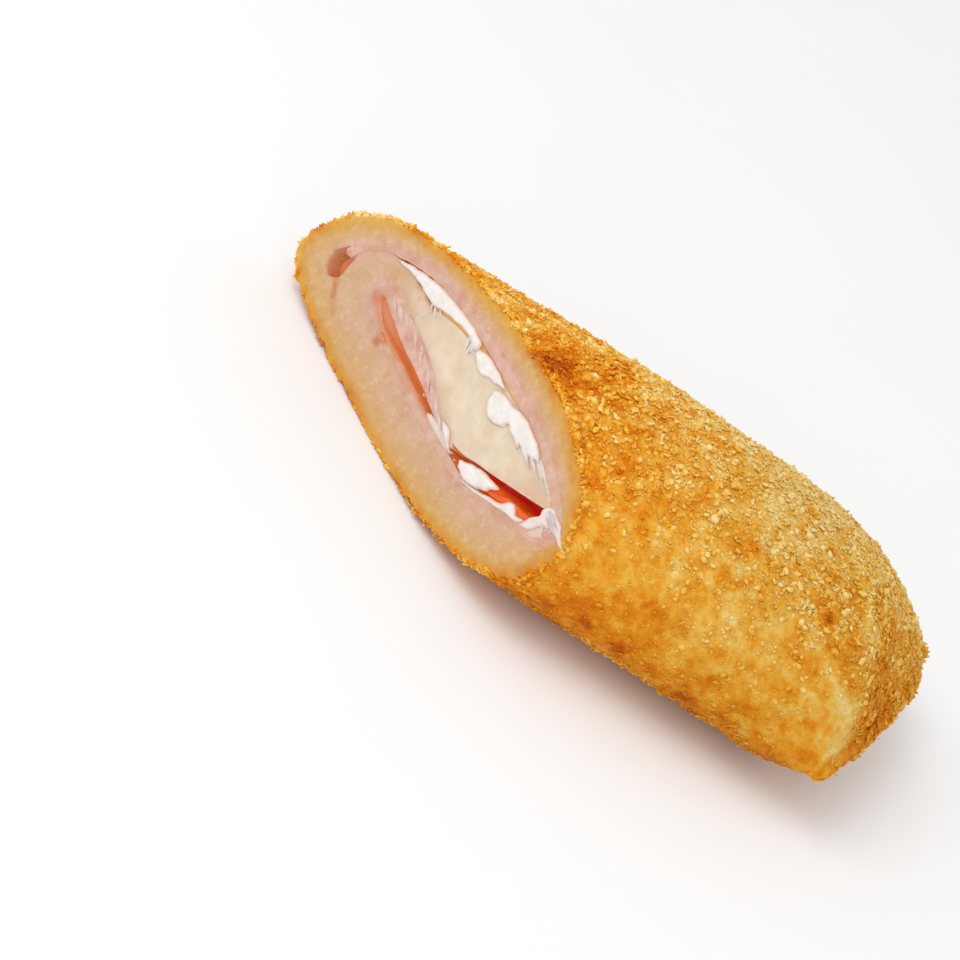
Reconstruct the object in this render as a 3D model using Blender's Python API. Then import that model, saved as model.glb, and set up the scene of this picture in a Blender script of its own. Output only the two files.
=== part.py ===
"""A ham and cheese roll, cut across on a slant.

A sheet of dough is rolled round a slice of ham, a slab of cheese and runny cheese, then rolled
in breadcrumbs and fried. This half runs from the slanted cut, where the layers show, to the
pinched closed end. X runs along the roll, Y across it to the far side, and Z up. Sizes are in
millimetres, measured from the middle of the cut, and become metres when a mesh is made.
"""

import math

import bmesh
import bpy
import numpy as np
from mathutils import Vector, noise

METRES_PER_MM = 0.001

# The middle of the cut, once the roll lies on its flat side with the frame under its middle
CUT_CENTRE = np.array([-28.3, -1.02, 12.1])

# Slanted cut: how far it runs along the roll for each millimetre towards the near side and up
CUT_RUN = 1.08
CUT_RISE = 0.36

# Half sizes of the roll at its cut end and further on, each with the stretch of X over which it
# changes, and how square its section is
NEAR_SIDE = (23.7, 21.3)
NEAR_NARROWS = (15.0, 75.0)
FAR_SIDE = (25.2, 21.8)
FAR_NARROWS = (56.0, 86.0)
TOP = (13.9, 17.7)
BOTTOM = (11.9, 12.5)
FILLS_OUT = (-25.0, 35.0)
TOP_DROP = 1.0
TOP_DROPS = (45.0, 70.0)
SQUARENESS = 2.2
FAR_BOTTOM_SQUARENESS = 3.4
RESTING_LEVEL = -12.1

# Level of the roll's widest line on the near and the far side of the cut, and its sag at the pinch
WIDEST_LEVEL = (2.5, -3.5)
PINCH_SAG = (3.5, 1.0)

# Closed end: its edge, its slant across the roll, and where the pinch begins
LENGTH = 78.6
END_SLANT = 0.24
END_BULGE = 1.0
END_HALF_WIDTH = 22.0
PINCH_FROM = 58.0
PINCH_SLANT = -0.25
PINCH_FULLNESS = (2.3, 0.75)
PINCHED_HALF = 2.2
LIP = 1.8
LIP_NARROWS = 0.04
LIP_TURNS = (30, 55, 75)

# Fold that runs over the top of the pinch to its near corner
FOLD_FROM = np.array([62.0, 4.0])
FOLD_TO = np.array([75.5, -20.5])
FOLD_HEIGHT = 0.7
FOLD_WIDTH = 1.7

# Crumb crust
CRUMB_RELIEF = 0.55
CLUMP_SIZE = 3.0
CRUMB_SIZE = 1.2
CRUMB_SHARE = 0.7
AROUND = 70
ALONG = 50
SETTLING_ROUNDS = 12

# Filling: gap kept between layers, and how deep the open pockets at the cut go
GAP = 0.3
ROOM_GAP = 0.4
FILLING_END = 58.0
FILLING_RINGS = 7
POCKET_DEPTH = 20.0
SAMPLE = 2.0
TIP_LENGTH = 0.7

# The ham's way through the cut, from the far side over the top and back under: how far towards
# the near side, how high, half its thickness, and the open room on its inner side
HAM_PATH = (
    (-20.1, -0.8, 0.50, 0.0),
    (-19.65, 1.3, 0.55, 0.0),
    (-18.8, 3.4, 0.60, 0.0),
    (-17.1, 5.8, 0.60, 0.0),
    (-12.2, 9.2, 0.75, 0.0),
    (-8.0, 10.5, 0.75, 0.0),
    (-3.0, 11.1, 0.85, 0.0),
    (4.0, 11.2, 0.95, 0.0),
    (10.5, 10.6, 0.95, 0.0),
    (16.5, 8.8, 0.85, 0.0),
    (20.4, 6.2, 0.80, 0.0),
    (21.1, 4.2, 0.85, 0.0),
    (20.2, 2.2, 0.85, 0.0),
    (17.2, 0.4, 0.70, 0.0),
    (10.8, -2.9, 0.70, 0.0),
    (5.9, -3.35, 0.75, 0.0),
    (0.6, -3.4, 0.95, 0.0),
    (-4.8, -2.95, 1.00, 0.0),
    (-10.1, -2.4, 0.75, 0.0),
    (-13.1, -1.1, 0.80, 0.0),
    (-14.0, 0.6, 0.85, 0.2),
    (-12.7, 1.85, 1.00, 1.0),
    (-9.9, 1.55, 1.30, 1.4),
    (-6.3, 1.1, 1.60, 0.9),
    (-3.0, 0.7, 1.40, 0.9),
    (0.6, -0.35, 0.90, 0.8),
    (3.6, -1.3, 0.60, 0.4),
    (6.6, -1.75, 0.35, 0.1),
)
HAM_POCKET_END = (-20.0, -3.7, 0.75)
HAM_LAYER_OVER_HOOK = -6

# The dough's inner end, hooked over the ham, and the pocket at the far side
HOOK = (
    (-8.6, 3.2),
    (-7.0, 3.7),
    (-6.9, 5.2),
    (-8.2, 6.0),
    (-13.6, 6.0),
    (-16.2, 5.1),
    (-17.8, 3.1),
    (-18.55, 0.9),
    (-18.5, -1.8),
    (-18.2, -4.0),
    (-19.3, -5.4),
    (-20.7, -4.6),
    (-21.35, -2.9),
    (-21.1, -0.9),
)

# Slab of cheese
SLAB = (
    (-8.0, 6.6),
    (-5.6, 7.8),
    (-3.0, 8.7),
    (-1.0, 7.5),
    (3.2, 7.7),
    (4.4, 6.0),
    (7.2, 5.8),
    (8.2, 7.2),
    (12.0, 7.2),
    (14.5, 7.1),
    (17.3, 5.95),
    (17.2, 5.3),
    (11.2, 1.2),
    (8.2, -0.9),
    (5.8, -0.9),
    (3.6, -0.3),
    (0.6, 1.0),
    (-3.0, 2.65),
    (-6.1, 3.2),
    (-6.2, 5.5),
)

# Runny cheese: over the slab, round its near end and back under it, listed as the ham is
MELT_PATH = (
    (-14.2, 6.65, 0.20, 0.0),
    (-12.0, 7.2, 0.50, 0.0),
    (-9.0, 7.95, 0.95, 0.0),
    (-5.6, 9.15, 0.55, 0.0),
    (-3.0, 9.5, 0.40, 0.0),
    (0.4, 9.0, 0.75, 0.0),
    (3.4, 9.3, 0.50, 0.0),
    (5.9, 8.1, 1.50, 0.0),
    (8.6, 8.6, 0.85, 0.0),
    (11.2, 8.3, 0.80, 0.0),
    (14.0, 7.9, 0.42, 0.0),
    (17.0, 6.85, 0.30, 0.0),
    (18.5, 5.9, 0.40, 0.2),
    (19.25, 4.6, 0.60, 0.6),
    (18.6, 3.2, 0.50, 1.5),
    (17.2, 2.1, 0.40, 2.0),
    (15.6, 1.5, 0.60, 1.4),
    (14.3, 0.5, 0.33, 1.8),
    (12.8, 0.15, 0.80, 0.7),
    (11.0, -0.65, 0.80, 0.1),
    (9.5, -1.5, 0.40, 0.0),
)

# How far each filling stands out of the cut, below zero where it has drawn back
HAM_STANDS_OUT = -0.4
SLAB_STANDS_OUT = 0.2
MELT_STANDS_OUT = 0.5


def clear_scene():
    for obj in list(bpy.data.objects):
        bpy.data.objects.remove(obj, do_unlink=True)


def eased(value, start, end):
    """0 up to the start and 1 from the end on, with a smooth change between."""
    share = np.clip((value - start) / (end - start), 0, 1)
    return share * share * (3 - 2 * share)


def between(start, end, share):
    return start + (end - start) * share


def cut_x(y, z):
    return -CUT_RUN * y + CUT_RISE * z


def end_x(y):
    return LENGTH + END_SLANT * y + END_BULGE * (1 - (y / END_HALF_WIDTH) ** 2)


def half_sizes(x):
    """Half widths of the near and far side, height of the top and depth of the bottom at x."""
    near = between(*NEAR_SIDE, eased(x, *NEAR_NARROWS))
    far = between(*FAR_SIDE, eased(x, *FAR_NARROWS))
    top = between(*TOP, eased(x, *FILLS_OUT)) - TOP_DROP * eased(x, *TOP_DROPS)
    bottom = between(*BOTTOM, eased(x, *FILLS_OUT))
    return near, far, top, bottom


def skin(x, y_before, angle):
    """Y and Z of the skin at x. The angle is zero on the far side and a quarter turn on top."""
    near, far, top, bottom = half_sizes(x)
    pinch_start = PINCH_FROM + PINCH_SLANT * y_before
    pinch = np.clip((x - pinch_start) / (end_x(y_before) - pinch_start), 0, 1)
    height_left = (1 - pinch ** PINCH_FULLNESS[0]) ** PINCH_FULLNESS[1]
    top = between(PINCHED_HALF, top, height_left)
    bottom = between(PINCHED_HALF, bottom, height_left)
    cosine, sine = np.cos(angle), np.sin(angle)
    width = np.where(cosine > 0, far, near)
    squareness = np.where((cosine > 0) & (sine < 0), FAR_BOTTOM_SQUARENESS, SQUARENESS)
    y = np.sign(cosine) * np.abs(cosine) ** (2 / squareness) * width
    tilted = 1 - eased(x, *FILLS_OUT)
    near_level = WIDEST_LEVEL[0] * tilted - PINCH_SAG[0] * pinch
    far_level = WIDEST_LEVEL[1] * tilted - PINCH_SAG[1] * pinch
    level = between(near_level, far_level, (y + near) / (near + far))
    lift = np.abs(sine) ** (2 / squareness)
    z = np.where(sine > 0, level + lift * (top - level), level - lift * (bottom + level))
    return y, z


def fold(x, y):
    """Height of the fold over the pinch at a point of the top."""
    run = FOLD_TO - FOLD_FROM
    length = np.linalg.norm(run)
    from_start = np.stack([x - FOLD_FROM[0], y - FOLD_FROM[1]], axis=-1)
    along = from_start @ run / length
    aside = from_start @ np.array([-run[1], run[0]]) / length
    shown = eased(along, -2, 4) * eased(length - along, 0, 5)
    return FOLD_HEIGHT * shown * np.exp(-((aside / FOLD_WIDTH) ** 2))


def crumb_relief(point):
    """How far the crumbs stand out at a point: clumps of them, and single ones on the clumps."""
    clump = noise.noise(Vector(point) / CLUMP_SIZE)
    crumb = noise.cell(Vector(point) / CRUMB_SIZE) - 0.5
    return CRUMB_RELIEF * (clump + CRUMB_SHARE * crumb)


def skin_ring(share, count):
    """One ring of the crumbed skin, the share being 0 at the cut and 1 at the closed end."""
    angle = np.linspace(0, 2 * math.pi, count, endpoint=False)
    x = np.full(count, between(0.0, LENGTH, share))
    y = np.zeros(count)
    for _ in range(SETTLING_ROUNDS):
        y, z = skin(x, y, angle)
        x = between(cut_x(y, z), end_x(y), share)
    z = z + np.where(z > 0, fold(x, y), 0.0)
    along_y = np.roll(y, -1) - np.roll(y, 1)
    along_z = np.roll(z, -1) - np.roll(z, 1)
    size = np.hypot(along_y, along_z)
    lump = np.array([crumb_relief(point) for point in zip(x, y, z)])
    y = y + lump * along_z / size
    z = np.maximum(z - lump * along_y / size, RESTING_LEVEL)
    x = between(cut_x(y, z), end_x(y), share)
    return np.column_stack([x, y, z])


def lip_ring(edge, turn):
    """The closed end's edge, drawn in as its lip rounds over."""
    ring = edge.copy()
    ring[:, 2] = between(edge[:, 2].mean(), edge[:, 2], math.cos(turn))
    ring[:, 1] = edge[:, 1] * (1 - LIP_NARROWS * (1 - math.cos(turn)))
    ring[:, 0] = edge[:, 0] + LIP * math.sin(turn)
    return ring


def smooth_path(rows, spaced_like=None):
    """A smooth curve through the rows of a table, with a sample every couple of millimetres."""
    rows = np.array(rows, float)
    spaced_like = rows if spaced_like is None else np.array(spaced_like, float)
    lengths = np.linalg.norm(np.diff(spaced_like[:, :2], axis=0), axis=1)
    ends = np.vstack([2 * rows[0] - rows[1], rows, 2 * rows[-1] - rows[-2]])
    samples = []
    for i, length in enumerate(lengths):
        a, b, c, d = ends[i : i + 4]
        steps = max(2, round(length / SAMPLE))
        for t in np.arange(steps) / steps:
            bend = (2 * a - 5 * b + 4 * c - d) * t**2 + (3 * b - a - 3 * c + d) * t**3
            samples.append(b + 0.5 * ((c - a) * t + bend))
    samples.append(rows[-1])
    return np.array(samples)


def left_of(path):
    """Unit vectors to the left of each point of a path."""
    forward = np.gradient(path[:, :2], axis=0)
    forward /= np.linalg.norm(forward, axis=1)[:, None]
    return np.column_stack([-forward[:, 1], forward[:, 0]])


def rounded(points, times=2):
    """A closed outline with its corners cut off."""
    points = np.array(points, float)
    for _ in range(times):
        following = np.roll(points, -1, axis=0)
        points = np.stack(
            [between(points, following, 0.25), between(points, following, 0.75)], axis=1
        ).reshape(-1, 2)
    return points


def depth_of(points, share):
    """How deep behind the cut each point of the cut lies at this share of the filling."""
    return share * (FILLING_END - cut_x(-points[:, 0], points[:, 1]))


def band_outline(rows, share, spaced_like=None):
    """Outline of a layer that follows a path, its inner side closing the pocket with depth."""
    path = smooth_path(rows, spaced_like)
    closed = eased(depth_of(path, share), 0, POCKET_DEPTH)
    left = left_of(path)
    outer = path[:, :2] + left * path[:, 2:3]
    inner = path[:, :2] - left * (path[:, 2] + path[:, 3] * closed)[:, None]
    forward = np.column_stack([left[:, 1], -left[:, 0]])
    first = path[0, :2] - forward[0] * path[0, 2] * TIP_LENGTH
    last = path[-1, :2] + forward[-1] * path[-1, 2] * TIP_LENGTH
    return np.vstack([first, outer, last, inner[::-1]])


def ham_outline(share):
    rows = [list(row) for row in HAM_PATH]
    start = np.array([rows[0][:2]])
    closed = float(eased(depth_of(start, share)[0], 0, POCKET_DEPTH))
    rows[0][:3] = between(np.array(rows[0][:3]), np.array(HAM_POCKET_END), closed)
    return band_outline(rows, share, HAM_PATH)


def melt_outline(share):
    return band_outline(MELT_PATH, share)


def slab_outline(share):
    return rounded(SLAB)


def room_outline(share):
    """The room inside the dough: round the ham, then back over the dough's hooked inner end."""
    path = smooth_path(HAM_PATH[1 : HAM_LAYER_OVER_HOOK + 1])
    outer = path[:, :2] + left_of(path) * (path[:, 2:3] + ROOM_GAP)
    hook = smooth_path([outer[-1], *HOOK, outer[0]])[1:-1]
    return np.vstack([outer, hook])


def filling_ring(outline, share, stands_out):
    """An outline of the cut, carried along inside the roll as the roll's size changes."""
    points = outline(share)
    y, z = -points[:, 0], points[:, 1]
    x = between(cut_x(y, z), FILLING_END + END_SLANT * y, share)
    at_cut = half_sizes(cut_x(y, z))
    here = half_sizes(x)
    y = y * np.where(y < 0, here[0] / at_cut[0], here[1] / at_cut[1])
    z = z * np.where(z > 0, here[2] / at_cut[2], here[3] / at_cut[3])
    x = between(cut_x(y, z) - stands_out, FILLING_END + END_SLANT * y, share)
    return np.column_stack([x, y, z])


def filling_rings(outline, stands_out=0.0, end=1.0):
    return [
        filling_ring(outline, share, stands_out)
        for share in end * np.linspace(0, 1, FILLING_RINGS) ** 1.5
    ]


def material(name, colour, roughness):
    made = bpy.data.materials.new(name)
    made.use_nodes = True
    shader = made.node_tree.nodes["Principled BSDF"]
    shader.inputs["Base Color"].default_value = (*colour, 1.0)
    shader.inputs["Roughness"].default_value = roughness
    shader.inputs["Metallic"].default_value = 0.0
    return made


def add_rings(mesh, rings):
    """Joins ring to ring with quads and gives the first and the last ring's vertices."""
    made = []
    for ring in rings:
        place = (ring + CUT_CENTRE) * METRES_PER_MM
        made.append([mesh.verts.new(point) for point in place])
    for here, following in zip(made, made[1:]):
        for i in range(len(here)):
            j = (i + 1) % len(here)
            mesh.faces.new((here[i], here[j], following[j], following[i]))
    return made[0], made[-1]


def finish(name, mesh, finish_material):
    bmesh.ops.triangulate(mesh, faces=mesh.faces)
    bmesh.ops.recalc_face_normals(mesh, faces=mesh.faces)
    data = bpy.data.meshes.new(name)
    mesh.to_mesh(data)
    mesh.free()
    data.shade_smooth()
    data.set_sharp_from_angle(angle=math.radians(50))
    data.materials.append(finish_material)
    made = bpy.data.objects.new(name, data)
    bpy.context.scene.collection.objects.link(made)
    return made


def close_like_a_zip(mesh, ring):
    """Closes a flat ring from its far corner to its near one, upper side to lower side."""
    count = len(ring)
    for i in range(count // 2):
        corners = [ring[i], ring[i + 1], ring[(count - i - 1) % count], ring[(count - i) % count]]
        mesh.faces.new(list(dict.fromkeys(corners)))


def add_wrapper():
    """Dough sheet in its crumb crust, rolled up with its inner end hooked over the ham."""
    mesh = bmesh.new()
    shares = 1 - (1 - np.linspace(0, 1, ALONG)) ** 1.35
    skin_rings = [skin_ring(share, AROUND) for share in shares]
    edge = skin_rings[-1]
    skin_rings += [lip_ring(edge, math.radians(turn)) for turn in LIP_TURNS]
    cut_edge, lip = add_rings(mesh, skin_rings)
    close_like_a_zip(mesh, lip)
    room_edge, room_end = add_rings(mesh, filling_rings(room_outline))
    mesh.faces.new(room_end)
    loops = []
    for loop in (cut_edge, room_edge):
        for a, b in zip(loop, loop[1:] + loop[:1]):
            loops.append(mesh.edges.get((a, b)))
    bmesh.ops.triangle_fill(mesh, use_beauty=True, use_dissolve=False, edges=loops)
    return finish("wrapper", mesh, material("crumb crust", (0.72, 0.36, 0.07), 0.8))


def add_filling(name, outline, stands_out, finish_material):
    mesh = bmesh.new()
    end = 1 - GAP * 2 / FILLING_END
    first, last = add_rings(mesh, filling_rings(outline, stands_out, end))
    mesh.faces.new(first)
    mesh.faces.new(last)
    return finish(name, mesh, finish_material)


clear_scene()
add_wrapper()
add_filling("ham", ham_outline, HAM_STANDS_OUT, material("ham", (0.72, 0.42, 0.36), 0.45))
add_filling("cheese", slab_outline, SLAB_STANDS_OUT, material("cheese", (0.80, 0.66, 0.43), 0.5))
add_filling(
    "melted_cheese", melt_outline, MELT_STANDS_OUT, material("runny cheese", (0.9, 0.88, 0.8), 0.25)
)
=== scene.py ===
import math

import bmesh
import bpy
import numpy as np
from mathutils import Matrix, Vector, noise
from mathutils.geometry import delaunay_2d_cdt


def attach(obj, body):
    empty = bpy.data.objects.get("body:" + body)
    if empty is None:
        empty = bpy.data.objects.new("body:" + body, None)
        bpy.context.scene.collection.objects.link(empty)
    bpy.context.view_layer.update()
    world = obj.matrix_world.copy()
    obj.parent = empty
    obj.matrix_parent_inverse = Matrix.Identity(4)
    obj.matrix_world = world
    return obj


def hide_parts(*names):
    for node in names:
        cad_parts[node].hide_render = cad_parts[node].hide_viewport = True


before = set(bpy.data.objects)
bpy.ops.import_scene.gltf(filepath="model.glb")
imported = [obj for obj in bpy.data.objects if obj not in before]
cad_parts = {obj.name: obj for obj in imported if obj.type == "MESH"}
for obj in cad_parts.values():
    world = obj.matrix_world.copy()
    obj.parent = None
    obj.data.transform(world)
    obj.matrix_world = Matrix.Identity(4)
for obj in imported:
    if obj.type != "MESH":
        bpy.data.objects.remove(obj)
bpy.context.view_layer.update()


# The wrapper is a sheet of wheat dough, rolled up round the filling, pressed shut at its end,
# coated in fine breadcrumbs and deep fried. Cut across on a slant, it shows pale cooked dough
# inside the thin golden crust. Sizes are in millimetres from the middle of the cut.
CUT_CENTRE = np.array([-28.3, -1.02, 12.1])
CUT_RUN = 1.08
CUT_RISE = 0.36
CUT_NORMAL = -np.array([1.0, CUT_RUN, -CUT_RISE]) / math.hypot(1.0, CUT_RUN, CUT_RISE)

# Half sizes at the cut and at the closed end, and from where to where each changes
NEAR_SIDE = (23.7, 21.3)
NEAR_NARROWS = (15.0, 75.0)
FAR_SIDE = (25.2, 21.8)
FAR_NARROWS = (56.0, 86.0)
TOP = (13.9, 17.7)
BOTTOM = (11.9, 12.5)
FILLS_OUT = (-25.0, 35.0)
TOP_DROP = 1.0
TOP_DROPS = (45.0, 70.0)
SQUARENESS = 2.2
FAR_BOTTOM_SQUARENESS = 3.4
RESTING_LEVEL = -12.1
WIDEST_LEVEL = (2.5, -3.5)
PINCH_SAG = (3.5, 1.0)

# The closed end: its place, its slant, how it is pinched flat, its lip and the fold over it
LENGTH = 78.6
END_SLANT = 0.24
END_BULGE = 1.0
END_HALF_WIDTH = 22.0
FAR_CORNER_ROUNDS = 1.8
PINCH_FROM = 58.0
PINCH_SLANT = -0.25
PINCH_FULLNESS = (2.3, 0.75)
PINCHED_HALF = 2.2
LIP = 1.8
LIP_NARROWS = 0.04
FOLD_FROM = np.array([62.0, 4.0])
FOLD_TO = np.array([75.5, -20.5])
FOLD_HEIGHT = 0.7
FOLD_WIDTH = 1.7

# The crust's lumps: height, size and shift of each, and the ragged edge that the knife left
CRUST_LUMPS = ((0.22, 3.4, 0.0), (0.20, 1.5, 11.0), (0.10, 0.75, 5.0))
CRUST_SUNK = 0.12
LIP_LUMPS = 0.6
RAGGED_HEIGHT = 0.30
RAGGED_LUMP = 0.8
RAGGED_DEPTH = 0.7
ABOVE_PLATE = 0.05

# How finely it is made, and what counts as on an edge or as too thin a triangle
CRUST_AROUND = 330
CRUST_ALONG = 200
CRUST_CLOSER_AT_END = 1.12
ANGLE_SAMPLES = 2881
FACE_SPACING = 0.4
ON_EDGE = 1e-3
MIDDLE_CLEAR = 0.02
SLIVER = 1e-5

# The filling runs to 20 mm before the closed end, and its open pockets close up behind the cut
POCKET_DEPTH = 20.0
FILLING_END = 58.0
PATH_SPACING = 0.45

rng = np.random.default_rng(7)


def eased(value, start, end):
    """0 up to the start and 1 from the end on, with a smooth change between."""
    share = np.clip((value - start) / (end - start), 0, 1)
    return share * share * (3 - 2 * share)


def between(start, end, share):
    return start + (end - start) * share


def cut_x(y, z):
    return -CUT_RUN * y + CUT_RISE * z


def end_x(y):
    rounding = FAR_CORNER_ROUNDS * eased(y, 7.0, 18.0)
    return LENGTH + END_SLANT * y + END_BULGE * (1 - (y / END_HALF_WIDTH) ** 2) - rounding


def half_sizes(x):
    near = between(*NEAR_SIDE, eased(x, *NEAR_NARROWS))
    far = between(*FAR_SIDE, eased(x, *FAR_NARROWS))
    top = between(*TOP, eased(x, *FILLS_OUT)) - TOP_DROP * eased(x, *TOP_DROPS)
    bottom = between(*BOTTOM, eased(x, *FILLS_OUT))
    return near, far, top, bottom


def skin(x, y_before, angle):
    """Y and Z of the roll's skin at x, for an angle that starts on the far side and rises."""
    near, far, top, bottom = half_sizes(x)
    pinch_start = PINCH_FROM + PINCH_SLANT * y_before
    pinch = np.clip((x - pinch_start) / (end_x(y_before) - pinch_start), 0, 1)
    height_left = (1 - pinch ** PINCH_FULLNESS[0]) ** PINCH_FULLNESS[1]
    top = between(PINCHED_HALF, top, height_left)
    bottom = between(PINCHED_HALF, bottom, height_left)
    cosine, sine = np.cos(angle), np.sin(angle)
    width = np.where(cosine > 0, far, near)
    squareness = np.where((cosine > 0) & (sine < 0), FAR_BOTTOM_SQUARENESS, SQUARENESS)
    y = np.sign(cosine) * np.abs(cosine) ** (2 / squareness) * width
    tilted = 1 - eased(x, *FILLS_OUT)
    near_level = WIDEST_LEVEL[0] * tilted - PINCH_SAG[0] * pinch
    far_level = WIDEST_LEVEL[1] * tilted - PINCH_SAG[1] * pinch
    level = between(near_level, far_level, (y + near) / (near + far))
    lift = np.abs(sine) ** (2 / squareness)
    z = np.where(sine > 0, level + lift * (top - level), level - lift * (bottom + level))
    return y, z


def fold(x, y):
    """Height of the fold that runs over the pinched end."""
    run = FOLD_TO - FOLD_FROM
    length = np.linalg.norm(run)
    from_start = np.stack([x - FOLD_FROM[0], y - FOLD_FROM[1]], axis=-1)
    along = from_start @ run / length
    aside = from_start @ np.array([-run[1], run[0]]) / length
    shown = eased(along, -2, 4) * eased(length - along, 0, 5)
    return FOLD_HEIGHT * shown * np.exp(-((aside / FOLD_WIDTH) ** 2))


def mottle(points, size, shift=0.0):
    """Smooth noise from -1 to 1 with lumps of about this size, also for points of the cut."""
    points = np.asarray(points, float)
    if points.shape[1] == 2:
        points = np.column_stack([points, np.zeros(len(points))])
    return np.array([noise.noise(Vector(point)) for point in points / size + shift])


def crust_relief(points):
    """How far the crust stands out: low swellings, clumps of crumbs and single crumbs."""
    return sum(height * mottle(points, *lump) for height, *lump in CRUST_LUMPS) - CRUST_SUNK


def skin_ring(share, angle):
    """One ring of the crust, the share being 0 at the cut and 1 at the closed end."""
    x = np.full(len(angle), between(0.0, LENGTH, share))
    y = np.zeros(len(angle))
    for _ in range(12):
        y, z = skin(x, y, angle)
        x = between(cut_x(y, z), end_x(y), share)
    z = z + np.where(z > 0, fold(x, y), 0.0)
    along_y = np.roll(y, -1) - np.roll(y, 1)
    along_z = np.roll(z, -1) - np.roll(z, 1)
    size = np.hypot(along_y, along_z)
    here = np.column_stack([x, y, z])
    lump = crust_relief(here)
    behind_cut = np.maximum(x - cut_x(y, z), 0)
    lump += RAGGED_HEIGHT * mottle(here, RAGGED_LUMP, 41.0) * np.exp(-behind_cut / RAGGED_DEPTH)
    y = y + lump * along_z / size
    z = np.maximum(z - lump * along_y / size, RESTING_LEVEL + ABOVE_PLATE)
    x = between(cut_x(y, z), end_x(y), share)
    return np.column_stack([x, y, z])


def evenly_spaced_angles(count):
    """Angles that put a ring's points an even distance apart."""
    fine = np.linspace(0, 2 * math.pi, ANGLE_SAMPLES)
    y, z = skin(np.full(ANGLE_SAMPLES, 25.0), np.zeros(ANGLE_SAMPLES), fine)
    along = np.concatenate([[0], np.cumsum(np.hypot(np.diff(y), np.diff(z)))])
    return np.interp(np.linspace(0, along[-1], count, endpoint=False), along, fine)


def lip_ring(edge, turn):
    """The closed end's edge, drawn in as its lip rounds over."""
    ring = edge.copy()
    ring[:, 2] = between(edge[:, 2].mean(), edge[:, 2], math.cos(turn))
    ring[:, 1] = edge[:, 1] * (1 - LIP_NARROWS * (1 - math.cos(turn)))
    ring[:, 0] = edge[:, 0] + LIP * math.sin(turn)
    ring[:, 0] += LIP_LUMPS * crust_relief(ring) * math.sin(turn)
    ring[:, 2] = np.maximum(ring[:, 2], RESTING_LEVEL + ABOVE_PLATE)
    return ring


def curve_span(four, length, spacing):
    """Evenly spaced points of a smooth curve, from the second of four points to the third."""
    a, b, c, d = four
    steps = max(2, round(length / spacing))
    span = []
    for t in np.arange(steps) / steps:
        bend = (2 * a - 5 * b + 4 * c - d) * t**2 + (3 * b - a - 3 * c + d) * t**3
        span.append(b + 0.5 * ((c - a) * t + bend))
    return span


def smooth_path(rows, spaced_like=None):
    """A smooth curve through the rows of a table, sampled at an even spacing."""
    rows = np.array(rows, float)
    spaced_like = rows if spaced_like is None else np.array(spaced_like, float)
    lengths = np.linalg.norm(np.diff(spaced_like[:, :2], axis=0), axis=1)
    ends = np.vstack([2 * rows[0] - rows[1], rows, 2 * rows[-1] - rows[-2]])
    samples = []
    for i, length in enumerate(lengths):
        samples += curve_span(ends[i : i + 4], length, PATH_SPACING)
    return np.array([*samples, rows[-1]])


def left_of(path):
    """Unit vectors to the left of each point of a path."""
    forward = np.gradient(path[:, :2], axis=0)
    forward /= np.linalg.norm(forward, axis=1)[:, None]
    return np.column_stack([-forward[:, 1], forward[:, 0]])


def depth_of(points, share):
    """How deep behind the cut each point of the cut lies at this share of the filling."""
    return share * (FILLING_END - cut_x(-points[:, 0], points[:, 1]))


# The ham's way through the cut, from the far side over the top and back under: how far towards
# the near side, how high, half its thickness, the open room on its inner side and how pink
HAM_PATH = (
    (-20.1, -0.8, 0.50, 0.0, 0.85),
    (-19.65, 1.3, 0.55, 0.0, 0.70),
    (-18.8, 3.4, 0.60, 0.0, 0.55),
    (-17.1, 5.8, 0.60, 0.0, 0.60),
    (-12.2, 9.2, 0.75, 0.0, 0.80),
    (-8.0, 10.5, 0.75, 0.0, 0.75),
    (-3.0, 11.1, 0.85, 0.0, 0.65),
    (4.0, 11.2, 0.95, 0.0, 0.75),
    (10.5, 10.6, 0.95, 0.0, 0.60),
    (16.5, 8.8, 0.85, 0.0, 0.50),
    (20.4, 6.2, 0.80, 0.0, 0.55),
    (21.1, 4.2, 0.85, 0.0, 0.75),
    (20.2, 2.2, 0.85, 0.0, 0.55),
    (17.2, 0.4, 0.70, 0.0, 0.45),
    (10.8, -2.9, 0.70, 0.0, 0.60),
    (5.9, -3.35, 0.75, 0.0, 0.55),
    (0.6, -3.4, 0.95, 0.0, 0.50),
    (-4.8, -2.95, 1.00, 0.0, 0.35),
    (-10.1, -2.4, 0.75, 0.0, 0.50),
    (-13.1, -1.1, 0.80, 0.0, 0.70),
    (-14.0, 0.6, 0.85, 0.2, 0.65),
    (-12.7, 1.85, 1.00, 1.0, 0.70),
    (-9.9, 1.55, 1.30, 1.4, 0.85),
    (-6.3, 1.1, 1.60, 0.9, 0.95),
    (-3.0, 0.7, 1.40, 0.9, 0.95),
    (0.6, -0.35, 0.90, 0.8, 0.90),
    (3.6, -1.3, 0.60, 0.4, 0.90),
    (6.6, -1.75, 0.35, 0.1, 0.70),
)
HAM_POCKET_END = (-20.0, -3.7, 0.75)
HAM_LAYER_OVER_HOOK = -6
ROOM_GAP = -0.35
ROOM_PINK = 0.3
ROOM_PAINTED_GLOW = 0.9
FAR_FROM_RIM = 6.0
CUT_LIFT = 0.4
HOOK = (
    (-8.6, 2.9), (-7.0, 3.4), (-6.9, 5.2), (-8.2, 6.35), (-13.6, 6.35), (-16.6, 5.4),
    (-18.4, 3.3), (-19.2, 0.9), (-18.7, -1.4), (-18.2, -4.0), (-19.3, -5.4), (-20.7, -4.6),
    (-21.35, -2.9), (-21.1, -0.9),
)
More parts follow.
